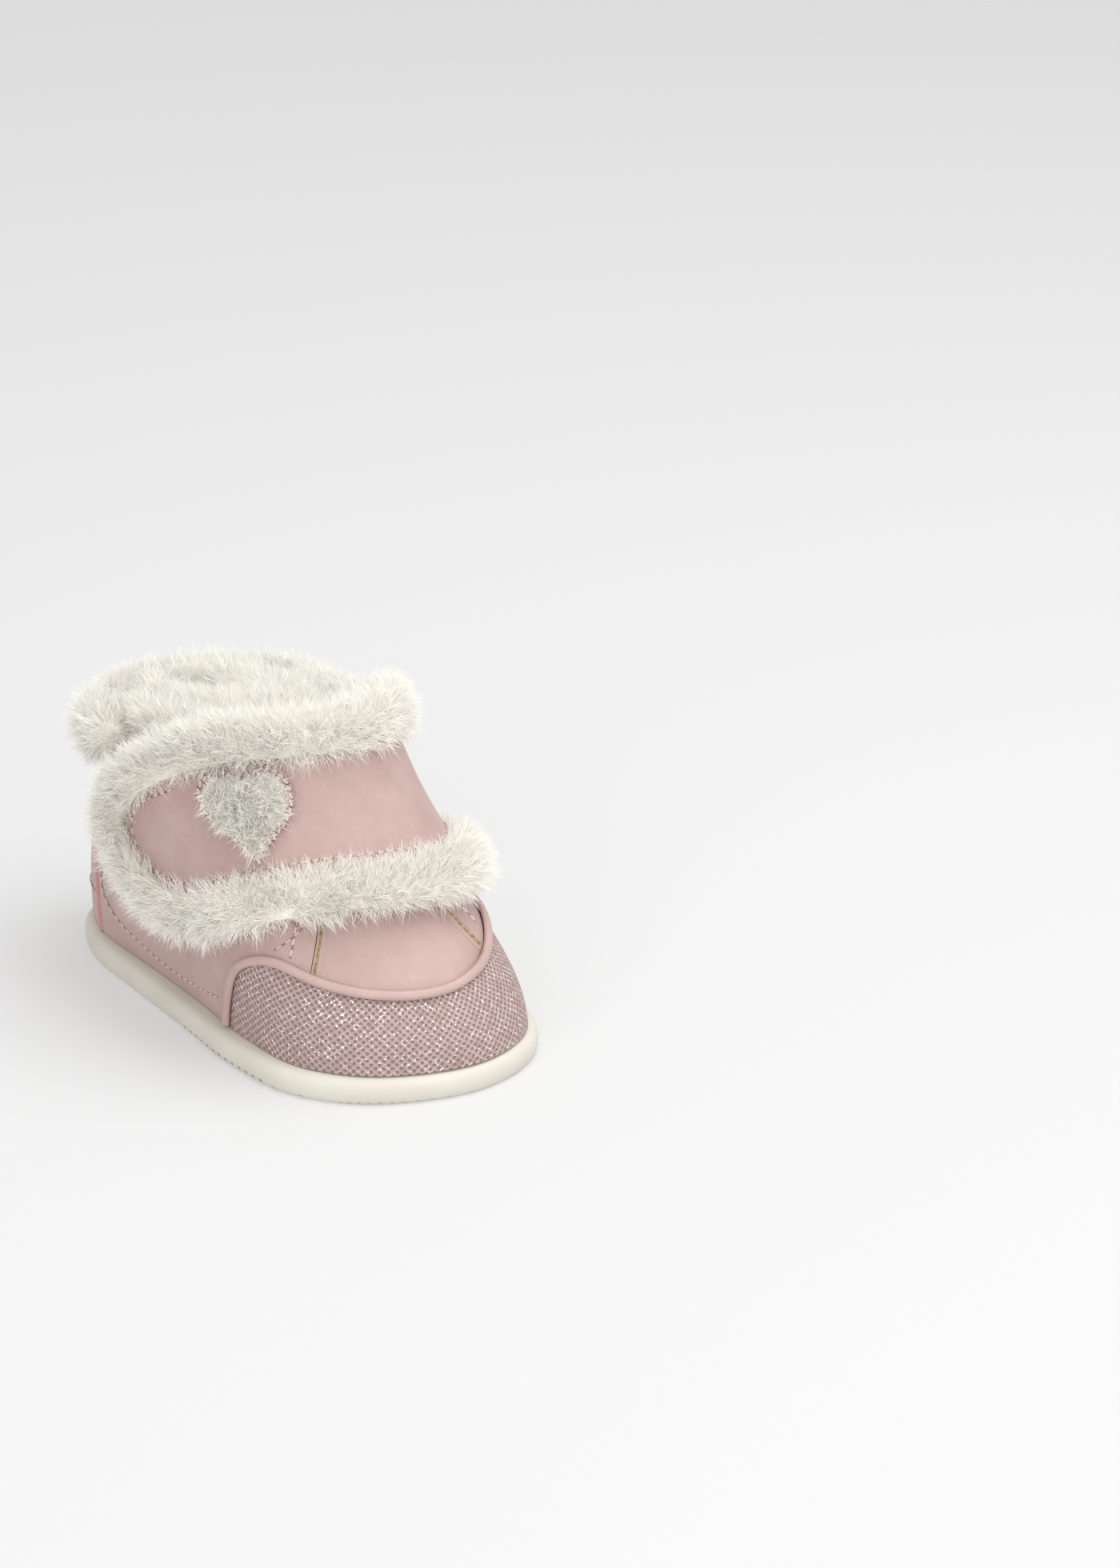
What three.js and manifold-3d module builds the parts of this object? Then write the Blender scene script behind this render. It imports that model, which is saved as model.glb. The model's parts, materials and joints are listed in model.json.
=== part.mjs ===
// Baby bootie, right foot, in millimetres. +X is toward the toe, +Y the inner (medial) side, +Z up.
// The upper is a set of panels lying in layers over one last-shaped surface; w runs once around the
// foot (0 heel, 0.25 outer side, 0.5 toe, 0.75 inner side) and t climbs from the sole (0) to the rim (1).
import * as THREE from 'three';
import Module from 'manifold-3d';

// ---- driving sizes ----
const SOLE_LENGTH = 132;
const SOLE_WIDTH = 68.5;
const SOLE_THICK = 6;
const RIM_LENGTH = 76; // ankle opening over the outside of the panels
const RIM_WIDTH = 46;
const RIM_HEIGHT_HEEL = 58;
const RIM_HEIGHT_FRONT = 70;
const RIM_CENTRE_X = -17;
const RIM_CENTRE_Y = -1;
const GAP = 0.3; // clearance between touching pieces
const LEATHER = 1.5;
const THIN_LEATHER = 0.9;
const LINING = 1.3;
const STIFFENER = 0.9;
const PIPING_GAP = 0.15; // the piping is sewn down hard
const FUR_BAND_WIDTH = 12;
const FUR_BAND_THICK = 7;
const GROOVE_DEPTH = 0.8;

// ---- layers, measured outward from the last surface ----
const stiffenerOut = -GAP;
const stiffenerIn = stiffenerOut - STIFFENER;
const liningOut = stiffenerIn - GAP;
const liningIn = liningOut - LINING;
const leatherOut = LEATHER;
const loopIn = leatherOut + GAP;
const loopOut = loopIn + 0.6;
const hookIn = loopOut + GAP;
const hookOut = hookIn + 0.6;
const flapLiningIn = hookOut + GAP;
const flapLiningOut = flapLiningIn + 0.7;
const flapIn = flapLiningOut + GAP;
const flapOut = flapIn + 1.2;
const heartRimIn = flapOut + GAP;
const heartRimOut = heartRimIn + 0.9;
const heartFurIn = heartRimOut + GAP;
const heartFurOut = heartFurIn + 2.6;

// ---- the sole's outline, as fractions of its length and width ----
const OUTLINE = [
  [-0.5, 0], [-0.462, -0.212], [-0.356, -0.343], [-0.197, -0.397], [-0.023, -0.442], [0.152, -0.489],
  [0.311, -0.467], [0.432, -0.292], [0.5, 0.066], [0.451, 0.365], [0.326, 0.511], [0.152, 0.472],
  [-0.023, 0.38], [-0.197, 0.307], [-0.356, 0.301], [-0.462, 0.204],
];
const outline = new THREE.CatmullRomCurve3(
  OUTLINE.map(([x, y]) => new THREE.Vector3(x * SOLE_LENGTH, y * SOLE_WIDTH, 0)), true, 'centripetal');
const turn = (w) => w - Math.floor(w);

// a value that goes smoothly from heel to sides to toe
function around(w, heel, side, toe) {
  const first = (heel - toe) / 2, middle = (heel + toe) / 2;
  return (middle + side) / 2 + first * Math.cos(2 * Math.PI * w)
    + (middle - side) / 2 * Math.cos(4 * Math.PI * w);
}

// outline point moved inward by inset
function solePoint(w, inset, z) {
  const p = outline.getPoint(turn(w));
  const ahead = outline.getPoint(turn(w + 0.001)), behind = outline.getPoint(turn(w - 0.001));
  const t = ahead.sub(behind).normalize();
  return new THREE.Vector3(p.x - t.y * inset, p.y + t.x * inset, z);
}

// outward level direction and height of the rim
function rim(w) {
  const a = RIM_LENGTH / 2, b = RIM_WIDTH / 2;
  const c = -Math.cos(2 * Math.PI * w), s = -Math.sin(2 * Math.PI * w);
  const height = RIM_HEIGHT_HEEL + (RIM_HEIGHT_FRONT - RIM_HEIGHT_HEEL) * (1 - Math.cos(2 * Math.PI * w)) / 2;
  return {
    point: new THREE.Vector3(RIM_CENTRE_X + a * c, RIM_CENTRE_Y + b * s, height),
    out: new THREE.Vector3(c / a, s / b, 0).normalize(),
  };
}

const UPPER_BASE = SOLE_THICK + GAP;
const BEYOND = 60; // height of one unit of t above the rim
function lastPoint(w, t) {
  const flange = around(w, 2.6, 6, 3.2);
  const base = solePoint(w, flange, UPPER_BASE);
  const edge = solePoint(w, 0, UPPER_BASE);
  const out = edge.clone().sub(base).normalize();
  const lower = base.clone().addScaledVector(out, around(w, 1.5, 2.5, -1));
  lower.z += around(w, 20, 19, 17);
  const top = rim(w);
  const upper = top.point.clone().addScaledVector(top.out, around(w, 4, 4, 12));
  upper.z -= around(w, 16, 19, 38);
  if (t > 1) {
    const climb = top.point.clone().sub(upper).normalize();
    return top.point.clone().addScaledVector(climb, (t - 1) * BEYOND);
  }
  const u = 1 - t;
  return base.multiplyScalar(u * u * u).addScaledVector(lower, 3 * u * u * t)
    .addScaledVector(upper, 3 * u * t * t).addScaledVector(top.point, t * t * t);
}
function lastFrame(w, t) {
  const across = lastPoint(w + 0.002, t).sub(lastPoint(w - 0.002, t)).normalize();
  const low = Math.max(t - 0.01, 0);
  const climb = lastPoint(w, low + 0.02).sub(lastPoint(w, low)).normalize();
  return { across, climb, normal: across.clone().cross(climb).normalize() };
}
function layered(w, t, off) {
  return lastPoint(w, t).addScaledVector(lastFrame(w, t).normal, off);
}

// ---- mesh making ----
function solid(name, positions, faces, look) {
  let volume = 0;
  for (const [a, b, c] of faces) {
    volume += positions[a].dot(positions[b].clone().cross(positions[c]));
  }
  if (volume < 0) faces = faces.map(([a, b, c]) => [a, c, b]);
  const geometry = new THREE.BufferGeometry();
  geometry.setAttribute('position', new THREE.Float32BufferAttribute(positions.flatMap((p) => [p.x, p.y, p.z]), 3));
  geometry.setIndex(faces.flat());
  geometry.computeVertexNormals();
  const mesh = new THREE.Mesh(geometry, new THREE.MeshStandardMaterial(look));
  mesh.name = name;
  return mesh;
}

// closed patch between two layers: place(s, r) gives [w, t] for s and r from 0 to 1
function panel(name, place, inner, outer, across, up, look) {
  const points = [], faces = [];
  const at = (side, i, j) => side * (across + 1) * (up + 1) + i * (up + 1) + j;
  for (const side of [0, 1]) {
    for (let i = 0; i <= across; i++) {
      for (let j = 0; j <= up; j++) {
        const [w, t] = place(i / across, j / up);
        points.push(layered(w, t, side ? outer : inner));
      }
    }
  }
  const quad = (a, b, c, d) => faces.push([a, b, c], [a, c, d]);
  for (let i = 0; i < across; i++) {
    for (let j = 0; j < up; j++) {
      quad(at(1, i, j), at(1, i + 1, j), at(1, i + 1, j + 1), at(1, i, j + 1));
      quad(at(0, i, j), at(0, i, j + 1), at(0, i + 1, j + 1), at(0, i + 1, j));
    }
    quad(at(0, i, 0), at(0, i + 1, 0), at(1, i + 1, 0), at(1, i, 0));
    quad(at(0, i, up), at(1, i, up), at(1, i + 1, up), at(0, i + 1, up));
  }
  for (let j = 0; j < up; j++) {
    quad(at(0, 0, j), at(1, 0, j), at(1, 0, j + 1), at(0, 0, j + 1));
    quad(at(0, across, j), at(0, across, j + 1), at(1, across, j + 1), at(1, across, j));
  }
  return solid(name, points, faces, look);
}

// faces of a flat cap, wound in the order of its points
function capFaces(flat) {
  const area = (a, b, c) => (b.x - a.x) * (c.y - a.y) - (b.y - a.y) * (c.x - a.x);
  const wound = THREE.ShapeUtils.isClockWise(flat) ? -1 : 1;
  return THREE.ShapeUtils.triangulateShape(flat, [])
    .map(([a, b, c]) => (area(flat[a], flat[b], flat[c]) * wound > 0 ? [a, b, c] : [a, c, b]));
}

// closed sweep: rings of equal point count, capped at both ends
function skin(name, rings, flat, look) {
  const n = rings[0].length, faces = [];
  for (let i = 0; i + 1 < rings.length; i++) {
    for (let j = 0; j < n; j++) {
      const k = (j + 1) % n;
      faces.push([i * n + j, (i + 1) * n + j, (i + 1) * n + k], [i * n + j, (i + 1) * n + k, i * n + k]);
    }
  }
  const last = (rings.length - 1) * n;
  for (const [a, b, c] of capFaces(flat)) {
    faces.push([a, b, c], [last + a, last + c, last + b]);
  }
  return solid(name, rings.flat(), faces, look);
}

// a smooth curve through listed [key, value] pairs
function through(pairs) {
  const slope = (i) => {
    const a = pairs[Math.max(i - 1, 0)], b = pairs[Math.min(i + 1, pairs.length - 1)];
    return (b[1] - a[1]) / (b[0] - a[0]);
  };
  return (x) => {
    if (x <= pairs[0][0]) return pairs[0][1];
    for (let i = 1; i < pairs.length; i++) {
      if (x <= pairs[i][0]) {
        const [x0, y0] = pairs[i - 1], [x1, y1] = pairs[i];
        const h = x1 - x0, f = (x - x0) / h, g = 1 - f;
        return y0 * (1 + 2 * f) * g * g + y1 * f * f * (3 - 2 * f)
          + h * f * g * (slope(i - 1) * g - slope(i) * f);
      }
    }
    return pairs[pairs.length - 1][1];
  };
}

// ---- looks ----
const look = (color, roughness, metalness = 0) => ({ color, roughness, metalness });
const pinkLeather = look(0xd6b8b2, 0.55);
const darkPinkEdge = look(0xc88280, 0.7);
const goldEdge = look(0xb39a72, 0.6);
const toeMesh = look(0xc8acaa, 0.6);
const cream = look(0xe8e4d7, 0.6);
const fur = look(0xebe8de, 0.95);
const fleece = look(0xe6e0d4, 0.95);
const board = look(0xd8d0c0, 0.85);
const tabCloth = look(0xa9a6a4, 0.85);
const hookTape = look(0xd9b9b4, 0.8);

// ---- sole ----
const wasm = await Module();
wasm.setup();
const asManifold = (mesh) => new wasm.Manifold(new wasm.Mesh({
  numProp: 3,
  vertProperties: new Float32Array(mesh.geometry.attributes.position.array),
  triVerts: new Uint32Array(mesh.geometry.index.array),
}));

const soleProfile = [[1.4, 0], [0.4, 0.7], [0, 1.8], [0, 4], [0.6, 5.2], [1.9, SOLE_THICK]];
const SOLE_POINTS = 56;
function soleBlank() {
  const points = [], faces = [];
  for (const [inset, z] of soleProfile) {
    for (let i = 0; i < SOLE_POINTS; i++) points.push(solePoint(i / SOLE_POINTS, inset, z));
  }
  for (let k = 0; k + 1 < soleProfile.length; k++) {
    for (let i = 0; i < SOLE_POINTS; i++) {
      const j = (i + 1) % SOLE_POINTS, a = k * SOLE_POINTS, b = a + SOLE_POINTS;
      faces.push([a + i, a + j, b + j], [a + i, b + j, b + i]);
    }
  }
  const ring = Array.from({ length: SOLE_POINTS }, (_, i) => new THREE.Vector2(points[i].x, points[i].y));
  const top = (soleProfile.length - 1) * SOLE_POINTS;
  for (const [a, b, c] of capFaces(ring)) {
    faces.push([a, c, b], [top + a, top + b, top + c]);
  }
  return solid('outsole', points, faces, cream);
}
function groove(x, lean, width, length, y = 0) {
  const box = new THREE.BoxGeometry(width, length, 2 * GROOVE_DEPTH);
  box.deleteAttribute('normal');
  box.deleteAttribute('uv');
  const corners = [], faces = [];
  const index = box.index.array, position = box.attributes.position;
  const seen = new Map(), remap = [];
  for (let i = 0; i < position.count; i++) {
    const key = [position.getX(i), position.getY(i), position.getZ(i)].map((v) => v.toFixed(4)).join();
    if (!seen.has(key)) {
      seen.set(key, corners.length);
      corners.push(new THREE.Vector3().fromBufferAttribute(position, i));
    }
    remap.push(seen.get(key));
  }
  for (let i = 0; i < index.length; i += 3) faces.push([remap[index[i]], remap[index[i + 1]], remap[index[i + 2]]]);
  const cut = solid('cut', corners, faces, cream);
  cut.geometry.rotateZ(lean).translate(x, y, 0);
  return asManifold(cut);
}
function outsole() {
  let body = asManifold(soleBlank());
  const lean = 0.12; // the cross grooves lean a little toward the outer side
  const cut = (g) => { body = body.subtract(g); };
  const HEEL_RIBS = 12, TOE_RIBS = 11, CROSS = 7;
  for (let i = 0; i < HEEL_RIBS; i++) cut(groove(-SOLE_LENGTH * 0.465 + i * 2.3, lean, 0.7, 80));
  for (let i = 0; i < CROSS; i++) cut(groove(-SOLE_LENGTH * 0.03 + i * SOLE_LENGTH * 0.055, lean, 1.3, 80));
  for (let i = 0; i < TOE_RIBS; i++) cut(groove(SOLE_LENGTH * 0.365 + i * 1.7, lean, 0.6, 80));
  const got = body.getMesh();
  const points = [], faces = [];
  for (let i = 0; i < got.vertProperties.length; i += got.numProp) {
    points.push(new THREE.Vector3(got.vertProperties[i], got.vertProperties[i + 1], got.vertProperties[i + 2]));
  }
  for (let i = 0; i < got.triVerts.length; i += 3) faces.push([...got.triVerts.slice(i, i + 3)]);
  return solid('outsole', points, faces, cream);
}

// flat plate whose outline follows the inside of the upper at height t
function plate(name, reach, low, high, look) {
  const n = 48, points = [], faces = [];
  for (const z of [low, high]) {
    for (let i = 0; i < n; i++) {
      const p = solePoint(i / n, around(i / n, 2.6, 6, 3.2) + reach, z);
      points.push(p);
    }
  }
  for (let i = 0; i < n; i++) {
    const j = (i + 1) % n;
    faces.push([i, j, n + j], [i, n + j, n + i]);
  }
  const ring = Array.from({ length: n }, (_, i) => new THREE.Vector2(points[i].x, points[i].y));
  for (const [a, b, c] of capFaces(ring)) {
    faces.push([a, c, b], [n + a, n + b, n + c]);
  }
  return solid(name, points, faces, look);
}

// ---- borders between the panels, in w and t ----
const CAP_START = 0.295, CAP_END = 0.705;
const capTop = through([
  [0.295, 0.03], [0.307, 0.19], [0.328, 0.325], [0.37, 0.41], [0.415, 0.365], [0.478, 0.32], [0.53, 0.345],
  [0.575, 0.40], [0.62, 0.42], [0.66, 0.355], [0.693, 0.19], [0.705, 0.03],
]);
const CAP_COLUMNS = 40;
const SEAM = 0.008; // half of the clearance between neighbours, as a share of t
const SIDE = 0.0016; // the same as a share of w
const THROAT_T = 0.62;
const HEEL_W = 0.118;
const COLLAR_T = 0.80;
// w of each quarter's front edge at height t: it leans in up to the throat, then runs straight up
const frontLateral = (t) => 0.4295 - 0.115 * (THROAT_T - Math.min(t, THROAT_T));
const frontMedial = (t) => 0.5405 + 0.069 * (THROAT_T - Math.min(t, THROAT_T));
const EDGE_GAP = 0.0015, EDGE_WIDE = 0.0042; // shares of w

function capPanel() {
  return panel('toe_cap', (s, r) => {
    const w = CAP_START + SIDE + (CAP_END - CAP_START - 2 * SIDE) * s;
    return [w, (capTop(w) - SEAM) * r];
  }, 0, LEATHER, CAP_COLUMNS, 6, toeMesh);
}

// quarter: from the heel patch to its front edge, resting on the sole or on the toe cap
const QUARTER_BACK_COLUMNS = 11;
function quarter(name, back, front, side, look) {
  const feet = [];
  const capEdge = side > 0 ? CAP_START : CAP_END;
  for (let i = 0; i < QUARTER_BACK_COLUMNS; i++) {
    feet.push([back + (capEdge - side * 0.004 - back) * i / (QUARTER_BACK_COLUMNS - 1), 0]);
  }
  const step = (CAP_END - CAP_START) / CAP_COLUMNS;
  const foot = front(capTop(front(0.4)));
  for (let w = capEdge; side * (foot - w) > step / 2; w += side * step) feet.push([w, capTop(w) + SEAM]);
  feet.push([foot, capTop(foot) + SEAM]);
  if (side < 0) feet.reverse();
  const across = feet.length - 1;
  return panel(name, (s, r) => {
    const [footW, low] = feet[Math.round(s * across)];
    const t = low + (COLLAR_T - SEAM - low) * r;
    const share = (footW - back) / (foot - back);
    return [footW + share * (front(Math.max(t, capTop(foot))) - foot), t];
  }, 0, leatherOut, across, 7, look);
}
function frontEdge(name, front, side) {
  return panel(name, (s, r) => {
    const low = capTop(front(0.4)) + SEAM;
    const t = low + (1 - low) * r;
    return [front(t) + side * EDGE_GAP + side * EDGE_WIDE * (side > 0 ? s : 1 - s), t];
  }, 0, leatherOut + 0.1, 1, 12, goldEdge);
}
const beside = EDGE_GAP + EDGE_WIDE + 0.0018; // where the vamp and tongue start, past the quarter's edge
function vamp() {
  return panel('vamp', (s, r) => {
    const middle = frontLateral(0.4) + beside + (frontMedial(0.4) - frontLateral(0.4) - 2 * beside) * s;
    const low = capTop(middle) + SEAM;
    const t = low + (THROAT_T - low) * r;
    const left = frontLateral(t) + beside, right = frontMedial(t) - beside;
    return [left + (right - left) * s, t];
  }, 0, THIN_LEATHER, 12, 5, pinkLeather);
}
function tongue(name, inner, outer, trim, top, look) {
  return panel(name, (s, r) => {
    const low = THROAT_T + 0.012 + trim * 0.2;
    const t = low + (top - low) * r;
    const left = frontLateral(t) + beside + trim * 0.05, right = frontMedial(t) - beside - trim * 0.05;
    return [left + (right - left) * s, t];
  }, inner, outer, 8, 6, look);
}
function strip(name, w0, w1, t0, t1, inner, outer, across, up, look) {
  return panel(name, (s, r) => [w0 + (w1 - w0) * s, t0 + (t1 - t0) * r], inner, outer, across, up, look);
}

// raised band following the toe cap's top border
function piping() {
  const width = 2.4, high = 1.5, steps = 44, rings = [];
  const shape = [[-0.5, 0], [0.5, 0], [0.5, 0.55], [0.3, 1], [-0.3, 1], [-0.5, 0.55]];
  const start = CAP_START, end = CAP_END;
  const path = [];
  for (let i = 0; i <= 4; i++) path.push([start, 0.02 + (capTop(start) - 0.02) * i / 4]);
  for (let i = 1; i <= steps; i++) path.push([start + (end - start) * i / steps, capTop(start + (end - start) * i / steps)]);
  for (let i = 1; i <= 4; i++) path.push([end, capTop(end) + (0.02 - capTop(end)) * i / 4]);
  for (let i = 0; i < path.length; i++) {
    const [w, t] = path[i];
    const before = path[Math.max(i - 1, 0)], after = path[Math.min(i + 1, path.length - 1)];
    const normal = lastFrame(w, t).normal;
    const along = layered(after[0], after[1], 0).sub(layered(before[0], before[1], 0)).normalize();
    const side = normal.clone().cross(along).normalize();
    const centre = layered(w, t, leatherOut + PIPING_GAP);
    rings.push(shape.map(([x, y]) => centre.clone().addScaledVector(side, x * width).addScaledVector(normal, y * high)));
  }
  return skin('toe_piping', rings, shape.map(([x, y]) => new THREE.Vector2(x, y)), pinkLeather);
}

// fur roll over the rim; profile points are [outward, up] from the rim
function cuff(name, w0, w1, profile, steps) {
  const rings = [];
  for (let i = 0; i <= steps; i++) {
    const w = w0 + (w1 - w0) * i / steps;
    const { point, out } = rim(turn(w));
    rings.push(profile.map(([o, z]) => point.clone().addScaledVector(out, o).add(new THREE.Vector3(0, 0, z))));
  }
  return skin(name, rings, profile.map(([o, z]) => new THREE.Vector2(o, z)), fur);
}
const fullRoll = [[4.2, -6], [6.8, -8.5], [9.4, -6.5], [9.6, -1], [8, 4], [4, 6.8], [-1, 6.8], [-5.5, 5],
  [-7.5, 1], [-6.8, -5], [-3.8, -5.5], [-3.8, GAP + 0.2], [3, GAP + 0.2]];
const topRoll = [[1.4, GAP + 0.2], [0.3, 4], [-2.2, 8], [-4.5, 8], [-6.5, 5.5], [-7.5, 1], [-6.8, -5],
  [-3.8, -5.5], [-3.8, GAP + 0.2]];

// ---- flap ----
const HINGE_W = 0.70;
const bandPath = new THREE.CatmullRomCurve3([
  [0.692, 0.50], [0.65, 0.535], [0.60, 0.58], [0.55, 0.625], [0.50, 0.665], [0.45, 0.67], [0.40, 0.63],
  [0.355, 0.565], [0.31, 0.485], [0.275, 0.447], [0.244, 0.455], [0.218, 0.505], [0.205, 0.60], [0.206, 0.71],
  [0.225, 0.82], [0.257, 0.92], [0.295, 1.0], [0.345, 1.06], [0.41, 1.085], [0.50, 1.09], [0.60, 1.06],
  [0.65, 1.025], [0.692, 0.985],
].map(([w, t]) => new THREE.Vector3(w, t, 0)), false, 'centripetal');
const bandAt = (share) => bandPath.getPoint(share);
function bandBorder(w, upper) {
  // height of the fur band's centre line at w, on its lower or upper run
  let best = null;
  for (let i = 0; i <= 240; i++) {
    const share = upper ? 0.56 + 0.44 * i / 240 : 0.5 * i / 240;
    const p = bandAt(share);
    if (!best || Math.abs(p.x - w) < Math.abs(best.x - w)) best = p;
  }
  return best.y;
}
function furBand() {
  const steps = 60, rings = [];
  const shape = [];
  for (let i = 0; i < 8; i++) {
    const a = 2 * Math.PI * (i + 0.5) / 8;
    shape.push([Math.cos(a), Math.sin(a)]);
  }
  const middle = hookIn + FUR_BAND_THICK / 2;
  for (let i = 0; i <= steps; i++) {
    const share = i / steps;
    const p = bandAt(share);
    const before = bandAt(Math.max(share - 0.004, 0)), after = bandAt(Math.min(share + 0.004, 1));
    const normal = lastFrame(p.x, p.y).normal;
    const along = layered(after.x, after.y, middle).sub(layered(before.x, before.y, middle)).normalize();
    const side = normal.clone().cross(along).normalize();
    const up = along.clone().cross(side).normalize();
    const ends = Math.min(1, 0.72 + 6 * Math.min(share, 1 - share));
    const centre = layered(p.x, p.y, middle);
    rings.push(shape.map(([x, y]) => centre.clone()
      .addScaledVector(side, x * FUR_BAND_WIDTH / 2 * ends)
      .addScaledVector(up, y * FUR_BAND_THICK / 2 * ends)));
  }
  return skin('flap_fur', rings, shape.map(([x, y]) => new THREE.Vector2(x, y)), fur);
}
// half of the band's width plus a clearance, as a share of t at w
function bandHalf(w) {
  const rise = lastPoint(w, 0.85).distanceTo(lastPoint(w, 0.75)) / 0.1;
  return (FUR_BAND_WIDTH / 2 + 3 * GAP) / rise;
}
function flapSheet(name, inner, outer, trim, across, up, look) {
  const start = 0.247 + trim, end = HINGE_W - 0.004;
  return panel(name, (s, r) => {
    const w = start + (end - start) * s;
    const low = bandBorder(w, false) + bandHalf(w) + trim;
    const high = bandBorder(w, true) - Math.max(bandHalf(w), (FUR_BAND_WIDTH / 2 + 4 * GAP) / BEYOND) - trim;
    return [w, low + (high - low) * r];
  }, inner, outer, across, up, look);
}

// heart outline, lobes up, tip down; size is half its width on the leather
function heartPoint(angle) {
  const x = 16 * Math.sin(angle) ** 3;
  const y = 13 * Math.cos(angle) - 5 * Math.cos(2 * angle) - 2 * Math.cos(3 * angle) - Math.cos(4 * angle);
  return [x / 16, (y + 2.5) / 15];
}
const HEART_W = 0.378, HEART_T = 0.845;
function heart(name, half, inner, outer, crown, look) {
  const n = 24, points = [], faces = [];
  const span = lastPoint(HEART_W + 0.01, HEART_T).distanceTo(lastPoint(HEART_W - 0.01, HEART_T)) / 0.02;
  const rise = lastPoint(HEART_W, HEART_T + 0.01).distanceTo(lastPoint(HEART_W, HEART_T - 0.01)) / 0.02;
  const at = (x, y, off) => layered(HEART_W + x / span, HEART_T + y / rise, off);
  const rings = [[inner, 0.38], [inner, 0.72], [inner, 1], [outer, 1], [outer + crown * 0.5, 0.72],
    [outer + crown * 0.85, 0.38]];
  for (const [off, share] of rings) {
    for (let i = 0; i < n; i++) {
      const [x, y] = heartPoint(-2 * Math.PI * i / n);
      points.push(at(x * half * share, y * half * share, off));
    }
  }
  const under = points.push(at(0, 0, inner)) - 1;
  const over = points.push(at(0, 0, outer + crown)) - 1;
  for (let k = 0; k + 1 < rings.length; k++) {
    for (let i = 0; i < n; i++) {
      const j = (i + 1) % n, a = k * n, b = a + n;
      faces.push([a + i, a + j, b + j], [a + i, b + j, b + i]);
    }
  }
  const last = (rings.length - 1) * n;
  for (let i = 0; i < n; i++) {
    const j = (i + 1) % n;
    faces.push([under, j, i], [over, last + i, last + j]);
  }
  return solid(name, points, faces, look);
}
const HEART_HALF = 10.2;

// ---- assembly ----
const bootie = new THREE.Group();
bootie.name = 'baby_bootie';
const soleGroup = new THREE.Group();
soleGroup.name = 'sole_unit';
const upperGroup = new THREE.Group();
upperGroup.name = 'upper';
const flapGroup = new THREE.Group();
flapGroup.name = 'flap_unit';
const tongueGroup = new THREE.Group();
tongueGroup.name = 'tongue_unit';

const insoleLow = UPPER_BASE, insoleHigh = insoleLow + 1.2;
const sockLow = insoleHigh + GAP, sockHigh = sockLow + 3;
const BOARD_IN = -liningIn + 0.6;
// the further the sole runs past the rim, the more the walls lean in over the footbed
const FOOTBED_IN = BOARD_IN + (SOLE_LENGTH - RIM_LENGTH) / 56;
soleGroup.add(
  outsole(),
  plate('insole_board', BOARD_IN, insoleLow, insoleHigh, board),
  plate('footbed', FOOTBED_IN, sockLow, sockHigh, fleece),
);

upperGroup.add(
  strip('quarter_lining', 0.556, 1.415, 0.004, 0.99, liningIn, liningOut, 42, 6, fleece),
  strip('vamp_lining', 0.4185, 0.5525, 0.004, THROAT_T - 0.01, liningIn, liningOut, 10, 5, fleece),
  strip('heel_counter', -0.13, 0.13, 0.02, 0.6, stiffenerIn, stiffenerOut, 12, 5, board),
  strip('toe_puff', 0.37, 0.63, 0.01, 0.28, stiffenerIn, stiffenerOut, 16, 3, board),
  capPanel(),
  piping(),
  vamp(),
  quarter('lateral_quarter', HEEL_W + 0.0062, frontLateral, 1, pinkLeather),
  quarter('medial_quarter', 1 - HEEL_W - 0.0062, frontMedial, -1, pinkLeather),
  frontEdge('lateral_edge', frontLateral, 1),
  frontEdge('medial_edge', frontMedial, -1),
  strip('heel_patch', -HEEL_W, HEEL_W, 0, COLLAR_T - SEAM, 0, leatherOut, 14, 8, pinkLeather),
  strip('heel_edge_lateral', HEEL_W + 0.0018, HEEL_W + 0.0048, 0, COLLAR_T - SEAM, 0, leatherOut + 0.2, 1, 8,
    darkPinkEdge),
  strip('heel_edge_medial', 1 - HEEL_W - 0.0048, 1 - HEEL_W - 0.0018, 0, COLLAR_T - SEAM, 0, leatherOut + 0.2,
    1, 8, darkPinkEdge),
  strip('collar_panel_lateral', 0.002, 0.4295, COLLAR_T + SEAM, 1, 0, leatherOut, 22, 2, pinkLeather),
  strip('collar_panel_medial', 0.5405, 0.998, COLLAR_T + SEAM, 1, 0, leatherOut, 22, 2, pinkLeather),
  strip('heel_tab', -0.022, 0.022, 0.67, 0.785, leatherOut + GAP, leatherOut + GAP + 0.7, 4, 3, tabCloth),
  cuff('collar_fur_back', 0.775, 1.15, fullRoll, 20),
  cuff('collar_fur_lateral', 0.154, 0.425, topRoll, 14),
  cuff('collar_fur_medial', 0.55, 0.771, topRoll, 12),
  strip('flap_root', 0.706, 0.735, 0.60, 0.93, leatherOut + GAP, leatherOut + GAP + 1.2, 3, 8, pinkLeather),
  strip('loop_pad', 0.26, 0.325, 0.60, 0.74, loopIn, loopOut, 5, 3, hookTape),
);
tongueGroup.add(
  tongue('tongue', 0, THIN_LEATHER, 0, 0.99, pinkLeather),
  tongue('tongue_lining', -GAP - LINING, -GAP, 0.03, 0.985, fleece),
  cuff('tongue_fur', 0.443, 0.533, [[1, GAP + 0.2], [-0.2, 4], [-2.8, 8], [-5, 8], [-6.6, 5.5], [-7, 1],
    [-5.5, GAP + 0.2]], 7),
);
flapGroup.add(
  flapSheet('flap', flapIn, flapOut, 0, 30, 5, pinkLeather),
  flapSheet('flap_lining', flapLiningIn, flapLiningOut, 0.006, 26, 4, fleece),
  furBand(),
  heart('heart_rim', HEART_HALF, heartRimIn, heartRimOut, 0.2, pinkLeather),
  heart('heart_fur', HEART_HALF * 0.86, heartFurIn, heartFurOut - 1.4, 1.4, fur),
  strip('hook_pad', 0.26, 0.325, 0.61, 0.73, hookIn, hookOut, 5, 3, hookTape),
);
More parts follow.
